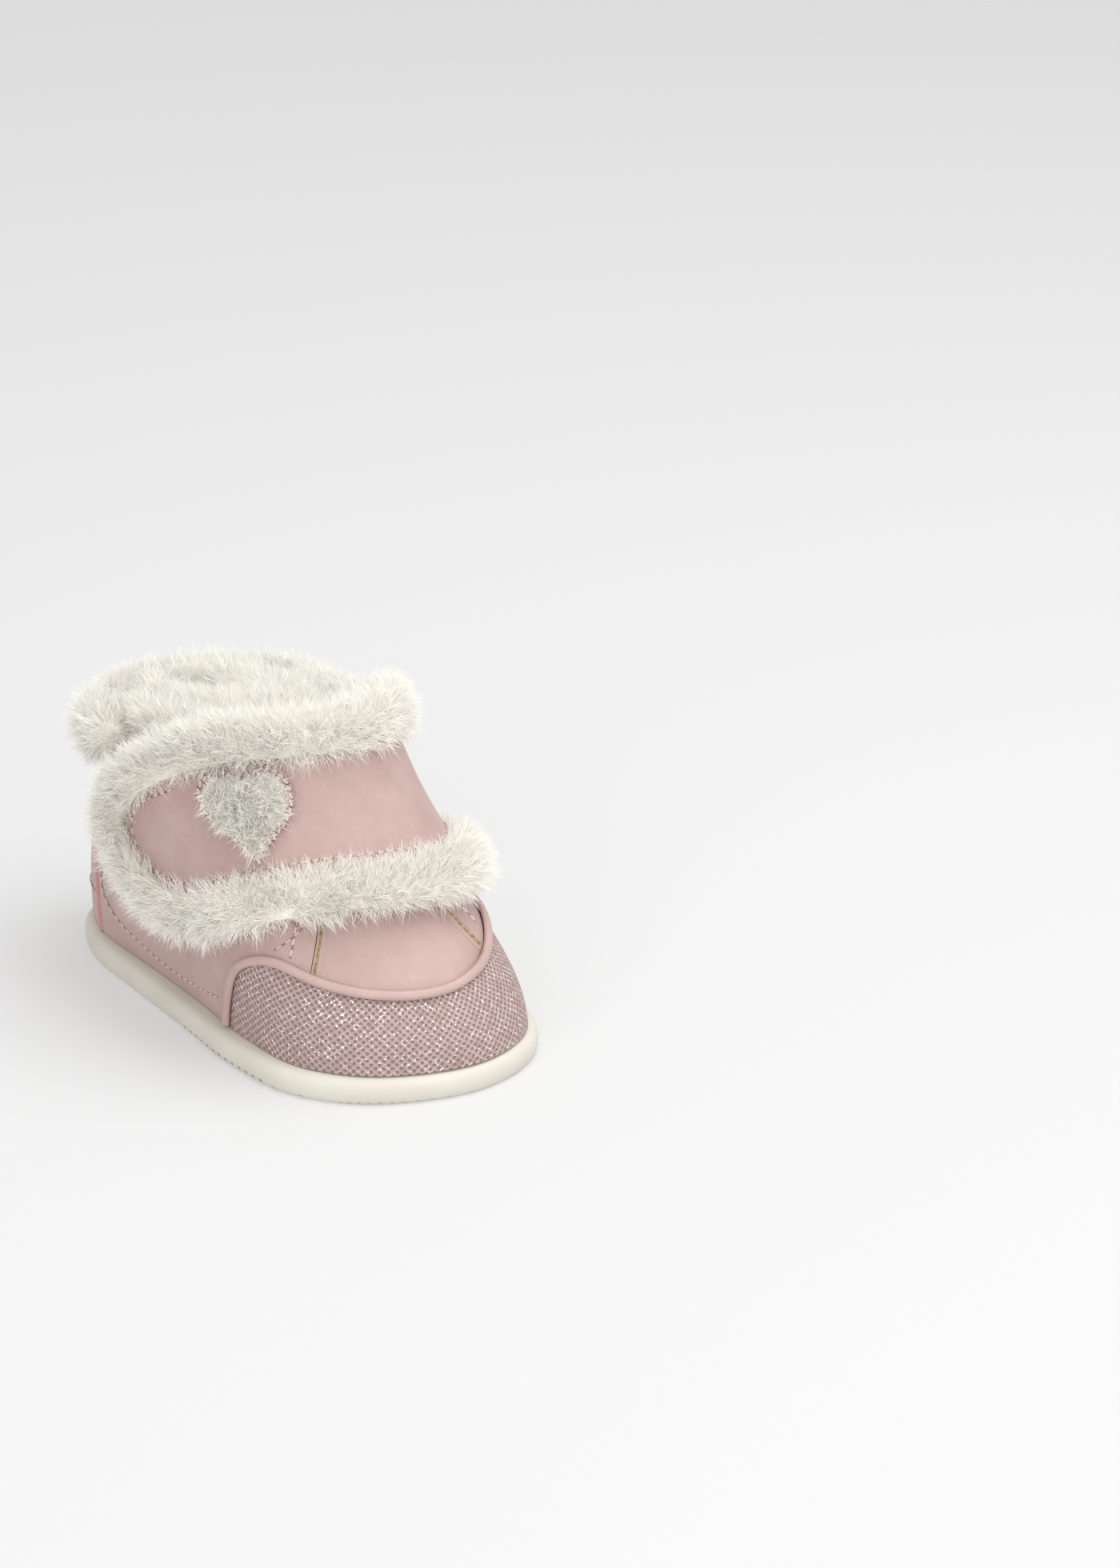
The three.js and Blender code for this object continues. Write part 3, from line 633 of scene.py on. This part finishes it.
raised = (0.0012, 0.00165, 0.00185, 0.00185, 0.00165, 0.0012)
for cad_node, way in (("heel_edge_lateral", 1), ("heel_edge_medial", -1)):
    strip = edge_ribbon(cad_node + "_cut", cad_node, lambda s, t: way * (0.1190 + 0.0050 * s), raised, 0.002, 0.79)
    strip.data.materials.append(rose_edge)
    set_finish(strip, "rose_edge")


# ---------------------------------------------------------------------------
# Toe cap: pink mesh fabric with a close grid of small round holes and a light
# silver sparkle, pulled smooth over the stiffened toe.
toe_cap = panel_from("toe_cap", "toe_cap_mesh", 0.0002)
HOLE_PITCH = 0.00128
DIAGONAL = HOLE_PITCH * 1.414  # the grid of holes lies on the slant
CAP_CENTRE = Vector((0.031, 0.003))
toe_mesh = new_material("toe_mesh_fabric", 0.5, 0.5)
cap_place = add_node(toe_mesh, "ShaderNodeTexCoord")
cap_split = add_node(toe_mesh, "ShaderNodeSeparateXYZ")
wire(toe_mesh, cap_place.outputs["Object"], cap_split.inputs[0])


def m(operation, first, second=None):
    """A math node of the toe cap's material, from numbers or other nodes' outputs."""
    made = add_node(toe_mesh, "ShaderNodeMath", operation=operation)
    for index, value in enumerate((first, second)):
        if isinstance(value, (int, float)):
            made.inputs[index].default_value = value
        elif value is not None:
            wire(toe_mesh, value, made.inputs[index])
    return made.outputs[0]


cap_x = m("SUBTRACT", cap_split.outputs["X"], CAP_CENTRE.x)
cap_y = m("SUBTRACT", cap_split.outputs["Y"], CAP_CENTRE.y)
cap_turn = m("MULTIPLY", m("ARCTAN2", cap_y, cap_x), 0.030)
cap_reach = m("SQRT", m("ADD", m("MULTIPLY", cap_x, cap_x), m("MULTIPLY", cap_y, cap_y)))
cap_climb = m("SUBTRACT", cap_split.outputs["Z"], m("MULTIPLY", cap_reach, 0.45))
across_rows = m("DIVIDE", m("ADD", cap_turn, cap_climb), DIAGONAL)
along_rows = m("DIVIDE", m("SUBTRACT", cap_turn, cap_climb), DIAGONAL)
hole_x = m("SUBTRACT", m("FRACT", across_rows), 0.5)
hole_y = m("SUBTRACT", m("FRACT", along_rows), 0.5)
hole_reach = m("SQRT", m("ADD", m("MULTIPLY", hole_x, hole_x), m("MULTIPLY", hole_y, hole_y)))
thread_show = ramp_between(toe_mesh, hole_reach, (0, 0, 0), (1, 1, 1), 0.18, 0.36)
cap_mottle = surface_texture(toe_mesh, "ShaderNodeTexNoise", Scale=500.0, Detail=4.0)
thread_tone = ramp_between(toe_mesh, cap_mottle.outputs["Fac"], (0.39, 0.272, 0.256), (0.52, 0.388, 0.367),
                           0.3, 0.7)
# the holes are painted darker than the thread around them: painted shade inside each hole
hole_shade_mix = add_node(toe_mesh, "ShaderNodeMix", data_type="RGBA")
wire(toe_mesh, thread_show, hole_shade_mix.inputs["Factor"])
hole_shade_mix.inputs[6].default_value = (0.30, 0.195, 0.18, 1)
wire(toe_mesh, thread_tone, hole_shade_mix.inputs[7])
sparkle = surface_texture(toe_mesh, "ShaderNodeTexVoronoi", Scale=3000.0)
sparkle_split = add_node(toe_mesh, "ShaderNodeSeparateColor")
wire(toe_mesh, sparkle.outputs["Color"], sparkle_split.inputs[0])
sparkle_on = m("MULTIPLY", m("GREATER_THAN", sparkle_split.outputs[0], 0.93), thread_show)
sparkle_mix = add_node(toe_mesh, "ShaderNodeMix", data_type="RGBA")
wire(toe_mesh, sparkle_on, sparkle_mix.inputs["Factor"])
wire(toe_mesh, hole_shade_mix.outputs[2], sparkle_mix.inputs[6])
sparkle_mix.inputs[7].default_value = (0.92, 0.88, 0.86, 1)
wire(toe_mesh, sparkle_mix.outputs[2], shader_input(toe_mesh, "Base Color"))
wire(toe_mesh, m("MULTIPLY", sparkle_on, 0.35), shader_input(toe_mesh, "Metallic"))
wire(toe_mesh, m("SUBTRACT", 0.58, m("MULTIPLY", sparkle_on, 0.2)), shader_input(toe_mesh, "Roughness"))
add_relief(toe_mesh, thread_show, 0.9, 0.0004)
toe_cap.data.materials.append(toe_mesh)
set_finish(toe_cap, "toe_mesh")


# ---------------------------------------------------------------------------
# Linings, footbed and boards: short cream fleece inside the shaft, under the
# flap and on the footbed, over plain bonded fibre board.
fleece = new_material("cream_fleece", 0.95, 0.1)
fleece_curl = surface_texture(fleece, "ShaderNodeTexNoise", Scale=900.0, Detail=6.0, Roughness=0.7)
paint(fleece, fleece_curl.outputs["Fac"], (0.55, 0.50, 0.43), (0.82, 0.78, 0.70), 0.3, 0.7)
add_relief(fleece, fleece_curl.outputs["Fac"], 0.8, 0.0008)
for cad_node in ("quarter_lining", "vamp_lining", "tongue_lining", "flap_lining", "footbed"):
    lining = panel_from(cad_node, cad_node + "_fleece", 0.0003, 1)
    lining.data.materials.append(fleece)
    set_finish(lining, "fleece")

fibre_board = new_material("fibre_board", 0.85, 0.2)
board_fibres = surface_texture(fibre_board, "ShaderNodeTexNoise", Scale=700.0, Detail=5.0)
paint(fibre_board, board_fibres.outputs["Fac"], (0.52, 0.47, 0.38), (0.68, 0.62, 0.52))
for cad_node in ("insole_board", "heel_counter", "toe_puff"):
    frame["nodes"][cad_node].data.materials.clear()
    frame["nodes"][cad_node].data.materials.append(fibre_board)


# ---------------------------------------------------------------------------
# Hook and loop closure and the heel tab: two small rectangles of tape that
# face each other under the flap, and a folded grey tape at the heel.
tape = new_material("closure_tape", 0.9, 0.2)
tape_hooks = surface_texture(tape, "ShaderNodeTexVoronoi", Scale=1600.0)
paint(tape, tape_hooks.outputs["Distance"], (0.66, 0.50, 0.47), (0.45, 0.32, 0.30))
add_relief(tape, tape_hooks.outputs["Distance"], 1.0, 0.0004).invert = True
for cad_node in ("loop_pad", "hook_pad"):
    pad = panel_from(cad_node, cad_node + "_tape", 0.0002, 1)
    pad.data.materials.append(tape)
    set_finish(pad, "hook_tape")

grey_tape = new_material("grey_tape", 0.85, 0.2)
grey_weave = surface_texture(grey_tape, "ShaderNodeTexWave", Scale=700.0, Distortion=0.6)
paint(grey_tape, grey_weave.outputs["Fac"], (0.25, 0.24, 0.235), (0.42, 0.41, 0.40))
heel_tab = panel_from("heel_tab", "heel_tab_tape", 0.0002)
heel_tab.data.materials.append(grey_tape)
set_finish(heel_tab, "tab_cloth")


# ---------------------------------------------------------------------------
# Heart shape: the patch's outline on the flap, leaning a little toward the heel,
# used for its leather rim, its pad of clipped fur and its ring of stitches.
HEART_CENTRE, HEART_HALF, HEART_TALL, HEART_LEAN = (0.379, 0.853), 0.0104, 1.12, math.radians(9)
HEART_RIM_HEIGHTS = (0.0061, 0.0069, 0.0002)  # low and high above the last, and the crown
HEART_PAD_HEIGHTS = (0.0072, 0.0076, 0.0016)


def heart_spot(angle, share, half=HEART_HALF):
    """[w, t] of a point on the heart's outline, or inside it for a share under 1."""
    x = math.sin(angle) ** 3
    y = (13 * math.cos(angle) - 5 * math.cos(2 * angle) - 2 * math.cos(3 * angle) - math.cos(4 * angle) + 2.5) / 15
    x, y = x * half * share, y * half * share * HEART_TALL
    c, s = math.cos(HEART_LEAN), math.sin(HEART_LEAN)
    x, y = x * c - y * s, x * s + y * c
    w, t = HEART_CENTRE
    wide = (last_point(w + 0.01, t) - last_point(w - 0.01, t)).length / 0.02
    tall = (last_point(w, t + 0.01) - last_point(w, t - 0.01)).length / 0.02
    return w + x / wide, t + y / tall


def heart_piece(name, cad_node, half, low, high, crown, turns=72):
    """A closed heart-shaped pad between two heights above the last, with a rounded crown."""
    rings = [(low, 0.35), (low, 0.7), (low, 1.0), (high * 0.5 + low * 0.5, 1.02), (high, 0.985),
             (high + crown * 0.45, 0.86), (high + crown * 0.8, 0.62), (high + crown * 0.95, 0.35)]
    verts, faces = [], []
    for lift, share in rings:
        for i in range(turns):
            verts.append(above_last(*heart_spot(2 * math.pi * i / turns, share, half), lift))
    for k in range(len(rings) - 1):
        for i in range(turns):
            j = (i + 1) % turns
            faces.append((k * turns + i, k * turns + j, (k + 1) * turns + j, (k + 1) * turns + i))
    under, over = len(verts), len(verts) + 1
    verts += [above_last(*heart_spot(0, 0), low), above_last(*heart_spot(0, 0), high + crown)]
    top = (len(rings) - 1) * turns
    for i in range(turns):
        j = (i + 1) % turns
        faces += [(under, j, i), (over, top + i, top + j)]
    pad = new_object(name, verts, faces)
    face_outward(pad)
    bpy.ops.object.shade_smooth_by_angle(angle=math.radians(60))
    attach(pad, "flap_body")
    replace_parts(pad, cad_node)
    return pad


# ---------------------------------------------------------------------------
# Fur: ivory long-pile faux fur round the collar, on the tongue's top and
# along the flap's edges. A soft roll of backing carries thousands of tapered
# hairs, combed one way and gathered into soft locks.
fur_backing = new_material("fur_backing", 0.95, 0.05)
backing_tone = surface_texture(fur_backing, "ShaderNodeTexNoise", Scale=400.0, Detail=4.0)
paint(fur_backing, backing_tone.outputs["Fac"], (0.90, 0.875, 0.83), (0.96, 0.945, 0.91))

fur_hair = new_material("fur_hair", 0.6, 0.25)
shader_input(fur_hair, "Subsurface Weight").default_value = 0.2
shader_input(fur_hair, "Subsurface Radius").default_value = (1, 0.95, 0.9)
shader_input(fur_hair, "Subsurface Scale").default_value = 0.0006
hair_share = add_node(fur_hair, "ShaderNodeAttribute", attribute_name="along_hair")
# each hair is painted a little darker and warmer at its root, fading toward the tip: painted shade deep in the
# pile
hair_root_shade_ramp = add_node(fur_hair, "ShaderNodeValToRGB")
hair_root_shade_ramp.color_ramp.elements[0].color = (0.96, 0.915, 0.83, 1)
hair_root_shade_ramp.color_ramp.elements[1].color = (0.995, 0.978, 0.925, 1)
hair_root_shade_ramp.color_ramp.elements[1].position = 0.55
wire(fur_hair, hair_share.outputs["Fac"], hair_root_shade_ramp.inputs["Fac"])
hair_tone = surface_texture(fur_hair, "ShaderNodeTexNoise", Scale=160.0, Detail=3.0)
hair_mix = add_node(fur_hair, "ShaderNodeMix", data_type="RGBA", blend_type="MULTIPLY")
hair_mix.inputs[0].default_value = 0.2
wire(fur_hair, hair_root_shade_ramp.outputs["Color"], hair_mix.inputs[6])
wire(fur_hair, ramp_between(fur_hair, hair_tone.outputs["Fac"], (0.90, 0.885, 0.86), (1, 1, 1), 0.3, 0.6),
     hair_mix.inputs[7])
wire(fur_hair, hair_mix.outputs[2], shader_input(fur_hair, "Base Color"))


MIDDLE_SWELL = 1.55  # a hair's middle keeps most of its thickness
STRAY = 0.4  # how far a hair strays from the way it is combed
LOCK_REACH = 0.0064  # how strongly the tips gather into locks
SHORTEST, LONGEST = 0.6, 1.15
GREY = (0.5, 0.5, 0.5)  # the middle of a noise


def make_hair(name, length, thickness, bend):
    """One tapered hair with a bend, standing on the origin along +Z."""
    deselect()
    bpy.ops.mesh.primitive_cone_add(vertices=3, radius1=thickness / 2, depth=length,
                                    location=(0, 0, length / 2))
    hair = bpy.context.object
    bpy.ops.object.transform_apply(location=True, rotation=True, scale=True)
    hair.name = name
    bpy.ops.object.mode_set(mode="EDIT")
    bpy.ops.mesh.select_all(action="SELECT")
    bpy.ops.mesh.bisect(plane_co=(0, 0, length * 0.5), plane_no=(0, 0, 1))
    bpy.ops.object.mode_set(mode="OBJECT")
    share = hair.data.attributes.new("along_hair", "FLOAT", "POINT")
    for v in hair.data.vertices:
        along = v.co.z / length
        share.data[v.index].value = along
        if 0.4 < along < 0.6:
            v.co.x, v.co.y = v.co.x * MIDDLE_SWELL, v.co.y * MIDDLE_SWELL
        v.co.x += bend * along * along
    hair.data.materials.append(fur_hair)
    return hair


def grow_fur(roll, name, body, hair, per_mm2, comb, gather, pull, seed, stand=0.5):
    """Hairs rooted all over a roll, leaning along comb and, by pull, toward the gather point."""
    coat = loose_copy(roll, name)
    group = bpy.data.node_groups.new(name, "GeometryNodeTree")
    for way in ("INPUT", "OUTPUT"):
        group.interface.new_socket("Geometry", in_out=way, socket_type="NodeSocketGeometry")

    def part(kind, inputs=None, **settings):
        """A node whose inputs get numbers or other nodes' outputs."""
        made = group.nodes.new(kind)
        for key, value in settings.items():
            setattr(made, key, value)
        for key, value in (inputs or {}).items():
            if isinstance(value, bpy.types.NodeSocket):
                group.links.new(value, made.inputs[key])
            else:
                made.inputs[key].default_value = value
        return made

    def vector(operation, first, second=None, scale=None):
        inputs = {0: first}
        if second is not None:
            inputs[1] = second
        if scale is not None:
            inputs["Scale"] = scale
        return part("ShaderNodeVectorMath", inputs, operation=operation).outputs[0]

    def chance(low, high, own_seed):
        """A random vector for each hair."""
        return part("FunctionNodeRandomValue", {0: low, 1: high, "Seed": own_seed},
                    data_type="FLOAT_VECTOR").outputs[0]

    entry, leave = part("NodeGroupInput"), part("NodeGroupOutput")
    roots = part("GeometryNodeDistributePointsOnFaces",
                 {"Density": per_mm2 * 1e6, "Seed": seed, "Mesh": entry.outputs[0]}, distribute_method="RANDOM")

    spot = part("GeometryNodeInputPosition").outputs[0]
    swirl = part("ShaderNodeTexNoise", {"Scale": 95, "Detail": 2, "Vector": spot})
    lean = vector("ADD", vector("SCALE", roots.outputs["Normal"], scale=stand), comb)
    lean = vector("ADD", lean, vector("SCALE", vector("SUBTRACT", swirl.outputs["Color"], GREY), scale=STRAY * 4))
    lean = vector("ADD", lean, chance((-STRAY * 0.6,) * 3, (STRAY * 0.6,) * 3, seed + 7))
    toward = vector("NORMALIZE", vector("SUBTRACT", gather, spot))
    lean = vector("ADD", lean, vector("SCALE", toward, scale=pull))
    point_along = part("FunctionNodeAlignRotationToVector", {"Vector": lean}, axis="Z")

    one_hair = part("GeometryNodeObjectInfo", {"Object": hair, "As Instance": True})
    sizes = part("FunctionNodeRandomValue", {2: SHORTEST, 3: LONGEST, "Seed": seed + 3}, data_type="FLOAT")
    hairs = part("GeometryNodeInstanceOnPoints",
                 {"Points": roots.outputs["Points"], "Instance": one_hair.outputs["Geometry"],
                  "Rotation": point_along.outputs[0], "Scale": sizes.outputs[1]})
    twist = part("GeometryNodeRotateInstances",
                 {"Local Space": True, "Instances": hairs.outputs[0],
                  "Rotation": chance((0, 0, -3.14), (0, 0, 3.14), seed + 5)})
    realize = part("GeometryNodeRealizeInstances", {0: twist.outputs[0]})

    here = part("GeometryNodeInputPosition").outputs[0]
    lock_noise = part("ShaderNodeTexNoise", {"Scale": 420, "Detail": 1, "Vector": here})
    along = part("GeometryNodeInputNamedAttribute", {"Name": "along_hair"}, data_type="FLOAT")
    tip_pull = part("ShaderNodeMath", {0: along.outputs[0], 1: LOCK_REACH}, operation="MULTIPLY").outputs[0]
    lock_push = vector("SCALE", vector("SUBTRACT", lock_noise.outputs["Color"], GREY), scale=tip_pull)
    draw = part("GeometryNodeSetPosition", {"Geometry": realize.outputs[0], "Offset": lock_push})
    group.links.new(draw.outputs[0], leave.inputs[0])

    growth = coat.modifiers.new("hairs", "NODES")
    growth.node_group = group
    apply_modifiers(coat)
    coat.data.materials.clear()
    coat.data.materials.append(fur_hair)
    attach(coat, body)
    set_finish(coat, "fur")


collar_hair = make_hair("collar_hair", 0.0052, 0.00012, 0.0016)
heart_hair = make_hair("heart_hair", 0.0044, 0.00012, 0.0014)
MOUTH_MIDDLE = (-0.010, -0.001, 0.082)
FLAP_MIDDLE = (0.0253, -0.0290, 0.0525)
density = 10.0
UPRIGHT = (0.0, 0.0, 0.0)
# CAD node, body, comb, gather point, pull, hair, share of the density, seed, coats
fur_runs = [
    ("collar_fur_back", "boot", (0.0, 0.0, -0.05), MOUTH_MIDDLE, 0.5, collar_hair, 1.0, 11, 2),
    ("collar_fur_lateral", "boot", UPRIGHT, MOUTH_MIDDLE, 0.4, collar_hair, 1.0, 12, 1),
    ("collar_fur_medial", "boot", UPRIGHT, MOUTH_MIDDLE, 0.4, collar_hair, 1.0, 13, 1),
    ("tongue_fur", "tongue_body", (0.0, 0.0, 0.1), MOUTH_MIDDLE, 0.5, collar_hair, 1.0, 14, 1),
    ("flap_fur", "flap_body", (0.0, 0.0, 0.22), FLAP_MIDDLE, -0.08, collar_hair, 1.0, 15, 3),
    ("heart_fur", "flap_body", (0.22, 0.28, 0.20), FLAP_MIDDLE, 0.0, heart_hair, 1.5, 16, 1),
]
for cad_node, body, comb, gather, pull, hair, share, seed, coats in fur_runs:
    if cad_node == "heart_fur":
        roll = heart_piece("heart_fur_backing", "heart_fur", HEART_HALF * 0.84, *HEART_PAD_HEIGHTS)
    else:
        roll = panel_from(cad_node, cad_node + "_backing", 0)
    roll.data.materials.append(fur_backing)
    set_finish(roll, "fur")
    sink, stand = (0.0003, 0.85) if hair is heart_hair else (0.0011, 0.5)
    make_active(roll)
    bpy.ops.object.mode_set(mode="EDIT")
    bpy.ops.mesh.select_all(action="SELECT")
    bpy.ops.transform.shrink_fatten(value=-sink)
    bpy.ops.object.mode_set(mode="OBJECT")
    for i in range(coats):
        grow_fur(roll, f"{cad_node}_pile_{i + 1}", body, hair, density * share / coats, comb, gather, pull,
                 seed + 20 * i, stand)

# the pile is deep enough to close the mouth but for a slit near the back: a soft
# inner roll of the same fur fills it, joined on inside the collar
MOUTH_OUTER, SLIT, SLIT_HALF = (0.0315, 0.0165), (-0.036, -0.002), (0.0110, 0.0046)
MOUTH_PROFILE = [(0.0, -0.006), (0.0, 0.001), (0.14, 0.0042), (0.36, 0.0060), (0.62, 0.0062), (0.86, 0.0042),
                 (1.0, -0.001), (1.0, -0.006)]


def mouth_point(s, r):
    """The inner roll, from the collar's inside at r = 0 over its top to the slit at r = 1."""
    turn = 2 * math.pi * s
    c, d = -math.cos(turn), -math.sin(turn)
    k = min(int(r * (len(MOUTH_PROFILE) - 1)), len(MOUTH_PROFILE) - 2)
    f = r * (len(MOUTH_PROFILE) - 1) - k
    inward = MOUTH_PROFILE[k][0] * (1 - f) + MOUTH_PROFILE[k + 1][0] * f
    rise = MOUTH_PROFILE[k][1] * (1 - f) + MOUTH_PROFILE[k + 1][1] * f
    outer = (RIM_CENTRE.x + MOUTH_OUTER[0] * c, RIM_CENTRE.y + MOUTH_OUTER[1] * d)
    slit = (SLIT[0] + SLIT_HALF[0] * c, SLIT[1] + SLIT_HALF[1] * d)
    x = outer[0] + (slit[0] - outer[0]) * inward
    y = outer[1] + (slit[1] - outer[1]) * inward
    z = RIM_LOW + RIM_RISE * (1 + (x - RIM_CENTRE.x) / RIM_HALF.x) / 2
    return Vector((x, y, z + 0.001 + rise))


inner = loft("collar_fur_inner_backing", 72, 28, mouth_point, closed=True)
fill_ends(inner)
inner.data.materials.append(fur_backing)
make_active(inner)
bpy.ops.object.shade_smooth()
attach(inner, "boot")
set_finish(inner, "fur")
for i in range(2):
    grow_fur(inner, f"collar_fur_inner_pile_{i + 1}", "boot", collar_hair, density * 0.35, (0.0, 0.0, 0.35),
             MOUTH_MIDDLE, 0.0, 17 + 20 * i)


def collar_end_point(s, r):
    """The back collar's rounded outer end, which tucks in behind the flap's band."""
    w = 0.125 + 0.062 * s
    c, d = -math.cos(2 * math.pi * w), -math.sin(2 * math.pi * w)
    swell = math.sqrt(max(1 - (2 * s - 1) ** 2, 0))
    out = Vector((c / RIM_HALF.x, d / RIM_HALF.y, 0)).normalized()
    turn = 2 * math.pi * r
    return (rim_point(c, d) + out * (0.0022 + 0.0045 * swell * math.cos(turn))
            + Vector((0, 0, -0.0010 + 0.0050 * swell * math.sin(turn))))


end_roll = loft("collar_fur_end_backing", 24, 20, collar_end_point, closed=True)
end_roll.data.materials.append(fur_backing)
face_outward(end_roll)
bpy.ops.object.shade_smooth()
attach(end_roll, "boot")
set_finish(end_roll, "fur")
grow_fur(end_roll, "collar_fur_end_pile", "boot", collar_hair, density, UPRIGHT, MOUTH_MIDDLE, 0.0, 71)
for hair in (collar_hair, heart_hair):
    bpy.data.objects.remove(hair)


# ---------------------------------------------------------------------------
# Heart: a heart-shaped leather patch on the flap, with a smaller heart of
# clipped fur on it. The leather rim is left showing for its ring of stitches.
heart_rim = heart_piece("heart_rim_leather", "heart_rim", HEART_HALF, *HEART_RIM_HEIGHTS)
heart_rim.data.materials.append(piping_nappa)
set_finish(heart_rim, "pink_leather")


# ---------------------------------------------------------------------------
# Stitching: lines of thick twisted thread that hold the panels down. Each line
# follows the last at its own height above it, one rounded stitch after another.
def smooth_line(points, steps=160):
    """Even samples of a smooth curve through the listed [w, t] points."""
    line = []
    n = len(points)
    for i in range(steps + 1):
        place = i / steps * (n - 1)
        k = min(int(place), n - 2)
        f = place - k
        a, b, c, d = (points[min(max(k + j, 0), n - 1)] for j in (-1, 0, 1, 2))
        line.append([0.5 * (2 * b[x] + (c[x] - a[x]) * f + (2 * a[x] - 5 * b[x] + 4 * c[x] - d[x]) * f * f
                            + (3 * b[x] - a[x] - 3 * c[x] + d[x]) * f ** 3) for x in (0, 1)])
    return line


deselect()
bpy.ops.mesh.primitive_uv_sphere_add(segments=8, ring_count=6, radius=0.5)
bead = bpy.context.object
bead_points = [v.co.copy() for v in bead.data.vertices]
bead_faces = [list(f.vertices) for f in bead.data.polygons]
bpy.data.objects.remove(bead)


def thread_finish(name, dark, light):
    made = new_material(name, 0.6, 0.35)
    # diagonal bands of the thread's twisted ply, painted lighter on each crest as highlight and darker in each
    # groove as shade
    twist_light_and_shade = surface_texture(made, "ShaderNodeTexWave", Scale=900.0, Distortion=1.0, bands_direction="DIAGONAL")
    paint(made, twist_light_and_shade.outputs["Fac"], dark, light)
    add_relief(made, twist_light_and_shade.outputs["Fac"], 0.6, 0.0001)
    return made


# painted shade: a small dark bead sunk at each end of a stitch stands for the shadow where the seam presses into
# the leather
stitch_end_shade = new_material("stitch_end_shade", 0.9, 0.1)
shader_input(stitch_end_shade, "Base Color").default_value = (0.27, 0.165, 0.15, 1)
pink_thread = thread_finish("pink_thread", (0.56, 0.41, 0.385), (0.80, 0.66, 0.63))
pale_thread = thread_finish("pale_thread", (0.66, 0.51, 0.48), (0.88, 0.77, 0.74))


# height and sinking of the dark beads of painted shade at the stitch ends
SHADE_BEAD_TALL, SHADE_BEAD_SINK = 0.00016, 0.00003


def sew(name, body, line, lift, thread, length=0.0019, pitch=0.0026, width=0.00055, skew=0.0):
    """One row of stitches along a line of [w, t] points, each with a small dark bead at both ends: painted shade
    where the thread presses into the leather.
    """
    track = [above_last(w, t, lift) for w, t in line]
    ups = [last_normal(w, t) for w, t in line]
    verts, faces, shade_flags = [], [], []
    due = pitch / 2
    for i in range(len(track) - 1):
        step = (track[i + 1] - track[i]).length
        while step > 0 and due <= step:
            f = due / step
            centre = track[i].lerp(track[i + 1], f)
            up = ups[i].lerp(ups[i + 1], f).normalized()
            run = (track[i + 1] - track[i]).normalized()
            side = up.cross(run).normalized()
            run = (run + side * skew).normalized()
            side = up.cross(run).normalized()
            # the stitch, then a dark bead of painted shade at each of its ends
            for shift, long, wide, tall in ((0, length, width, width * 0.75),
                                            (0.5, width, width * 1.05, SHADE_BEAD_TALL),
                                            (-0.5, width, width * 1.05, SHADE_BEAD_TALL)):
                first = len(verts)
                middle = centre + run * shift * length - up * (SHADE_BEAD_SINK if shift else 0)
                for p in bead_points:
                    verts.append(middle + run * p.z * long + side * p.x * wide + up * p.y * tall)
                faces += [[first + k for k in face] for face in bead_faces]
                shade_flags += [1 if shift else 0] * len(bead_faces)
            due += pitch
        due -= step
    row = new_object(name, verts, faces)
    mesh = row.data
    mesh.materials.append(thread)
    mesh.materials.append(stitch_end_shade)
    for face, shade_flag in zip(mesh.polygons, shade_flags):
        face.material_index = shade_flag
    face_outward(row)
    bpy.ops.object.shade_smooth()
    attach(row, body)


LEATHER_TOP, ROOT_TOP, FLAP_TOP, HEART_TOP = 0.00155, 0.00305, 0.00585, 0.00715
HEEL_LINE, COLLAR_LINE = 0.009, 0.775
low_run = [(0.131, 0.36), (0.132, 0.27), (0.137, 0.19), (0.160, 0.115), (0.190, 0.078), (0.222, 0.062),
           (0.255, 0.072), (0.284, 0.105)]
flap_edge = [(0.66, 0.635), (0.60, 0.68), (0.55, 0.722), (0.50, 0.76), (0.45, 0.765), (0.40, 0.73), (0.355, 0.67),
             (0.31, 0.59), (0.27, 0.56), (0.245, 0.58), (0.234, 0.64), (0.236, 0.72), (0.254, 0.80), (0.292, 0.88)]
leather_rows = [
    ("stitch_low_lateral", low_run, pink_thread),
    ("stitch_low_medial", [(1 - w, t) for w, t in low_run], pink_thread),
    ("stitch_heel_low", [(-0.108, 0.155), (-0.06, 0.15), (0.0, 0.15), (0.06, 0.15), (0.108, 0.155)], pink_thread),
    ("stitch_heel_seam_medial", [(-HEEL_LINE, t) for t in (0.20, 0.45, 0.655)], pink_thread),
    ("stitch_heel_seam_lateral", [(HEEL_LINE, t) for t in (0.20, 0.45, 0.655)], pink_thread),
    ("stitch_front_lateral", [(front_lateral(t) - 0.019, t) for t in (0.44, 0.5, 0.56, 0.62)], pale_thread),
    ("stitch_front_medial", [(front_medial(t) + 0.017, t) for t in (0.45, 0.5, 0.56, 0.62)], pale_thread),
    ("stitch_fork_lateral", [(0.376, 0.455), (0.390, 0.495), (0.404, 0.54), (0.414, 0.58)], pink_thread),
    ("stitch_collar_medial", [(w, COLLAR_LINE) for w in (0.875, 0.82, 0.76, 0.745)], pink_thread),
    ("stitch_collar_lateral", [(w, COLLAR_LINE) for w in (0.125, 0.16, 0.22, 0.26)], pink_thread),
]
for name, points, thread in leather_rows:
    sew(name, "boot", smooth_line(points), LEATHER_TOP, thread)
for w in (0.7115, 0.7285):
    sew(f"stitch_root_{int(w * 10000)}", "boot", smooth_line([(w, t) for t in (0.62, 0.72, 0.82, 0.91)]),
        ROOT_TOP, pink_thread)
sew("stitch_flap_border", "flap_body", smooth_line(flap_edge, 400), FLAP_TOP, pink_thread)
heart_line = [heart_spot(2 * math.pi * i / 240, 0.955) for i in range(241)]
sew("stitch_heart", "flap_body", heart_line, HEART_TOP, pale_thread, 0.0017, 0.0017, 0.00065, 0.45)
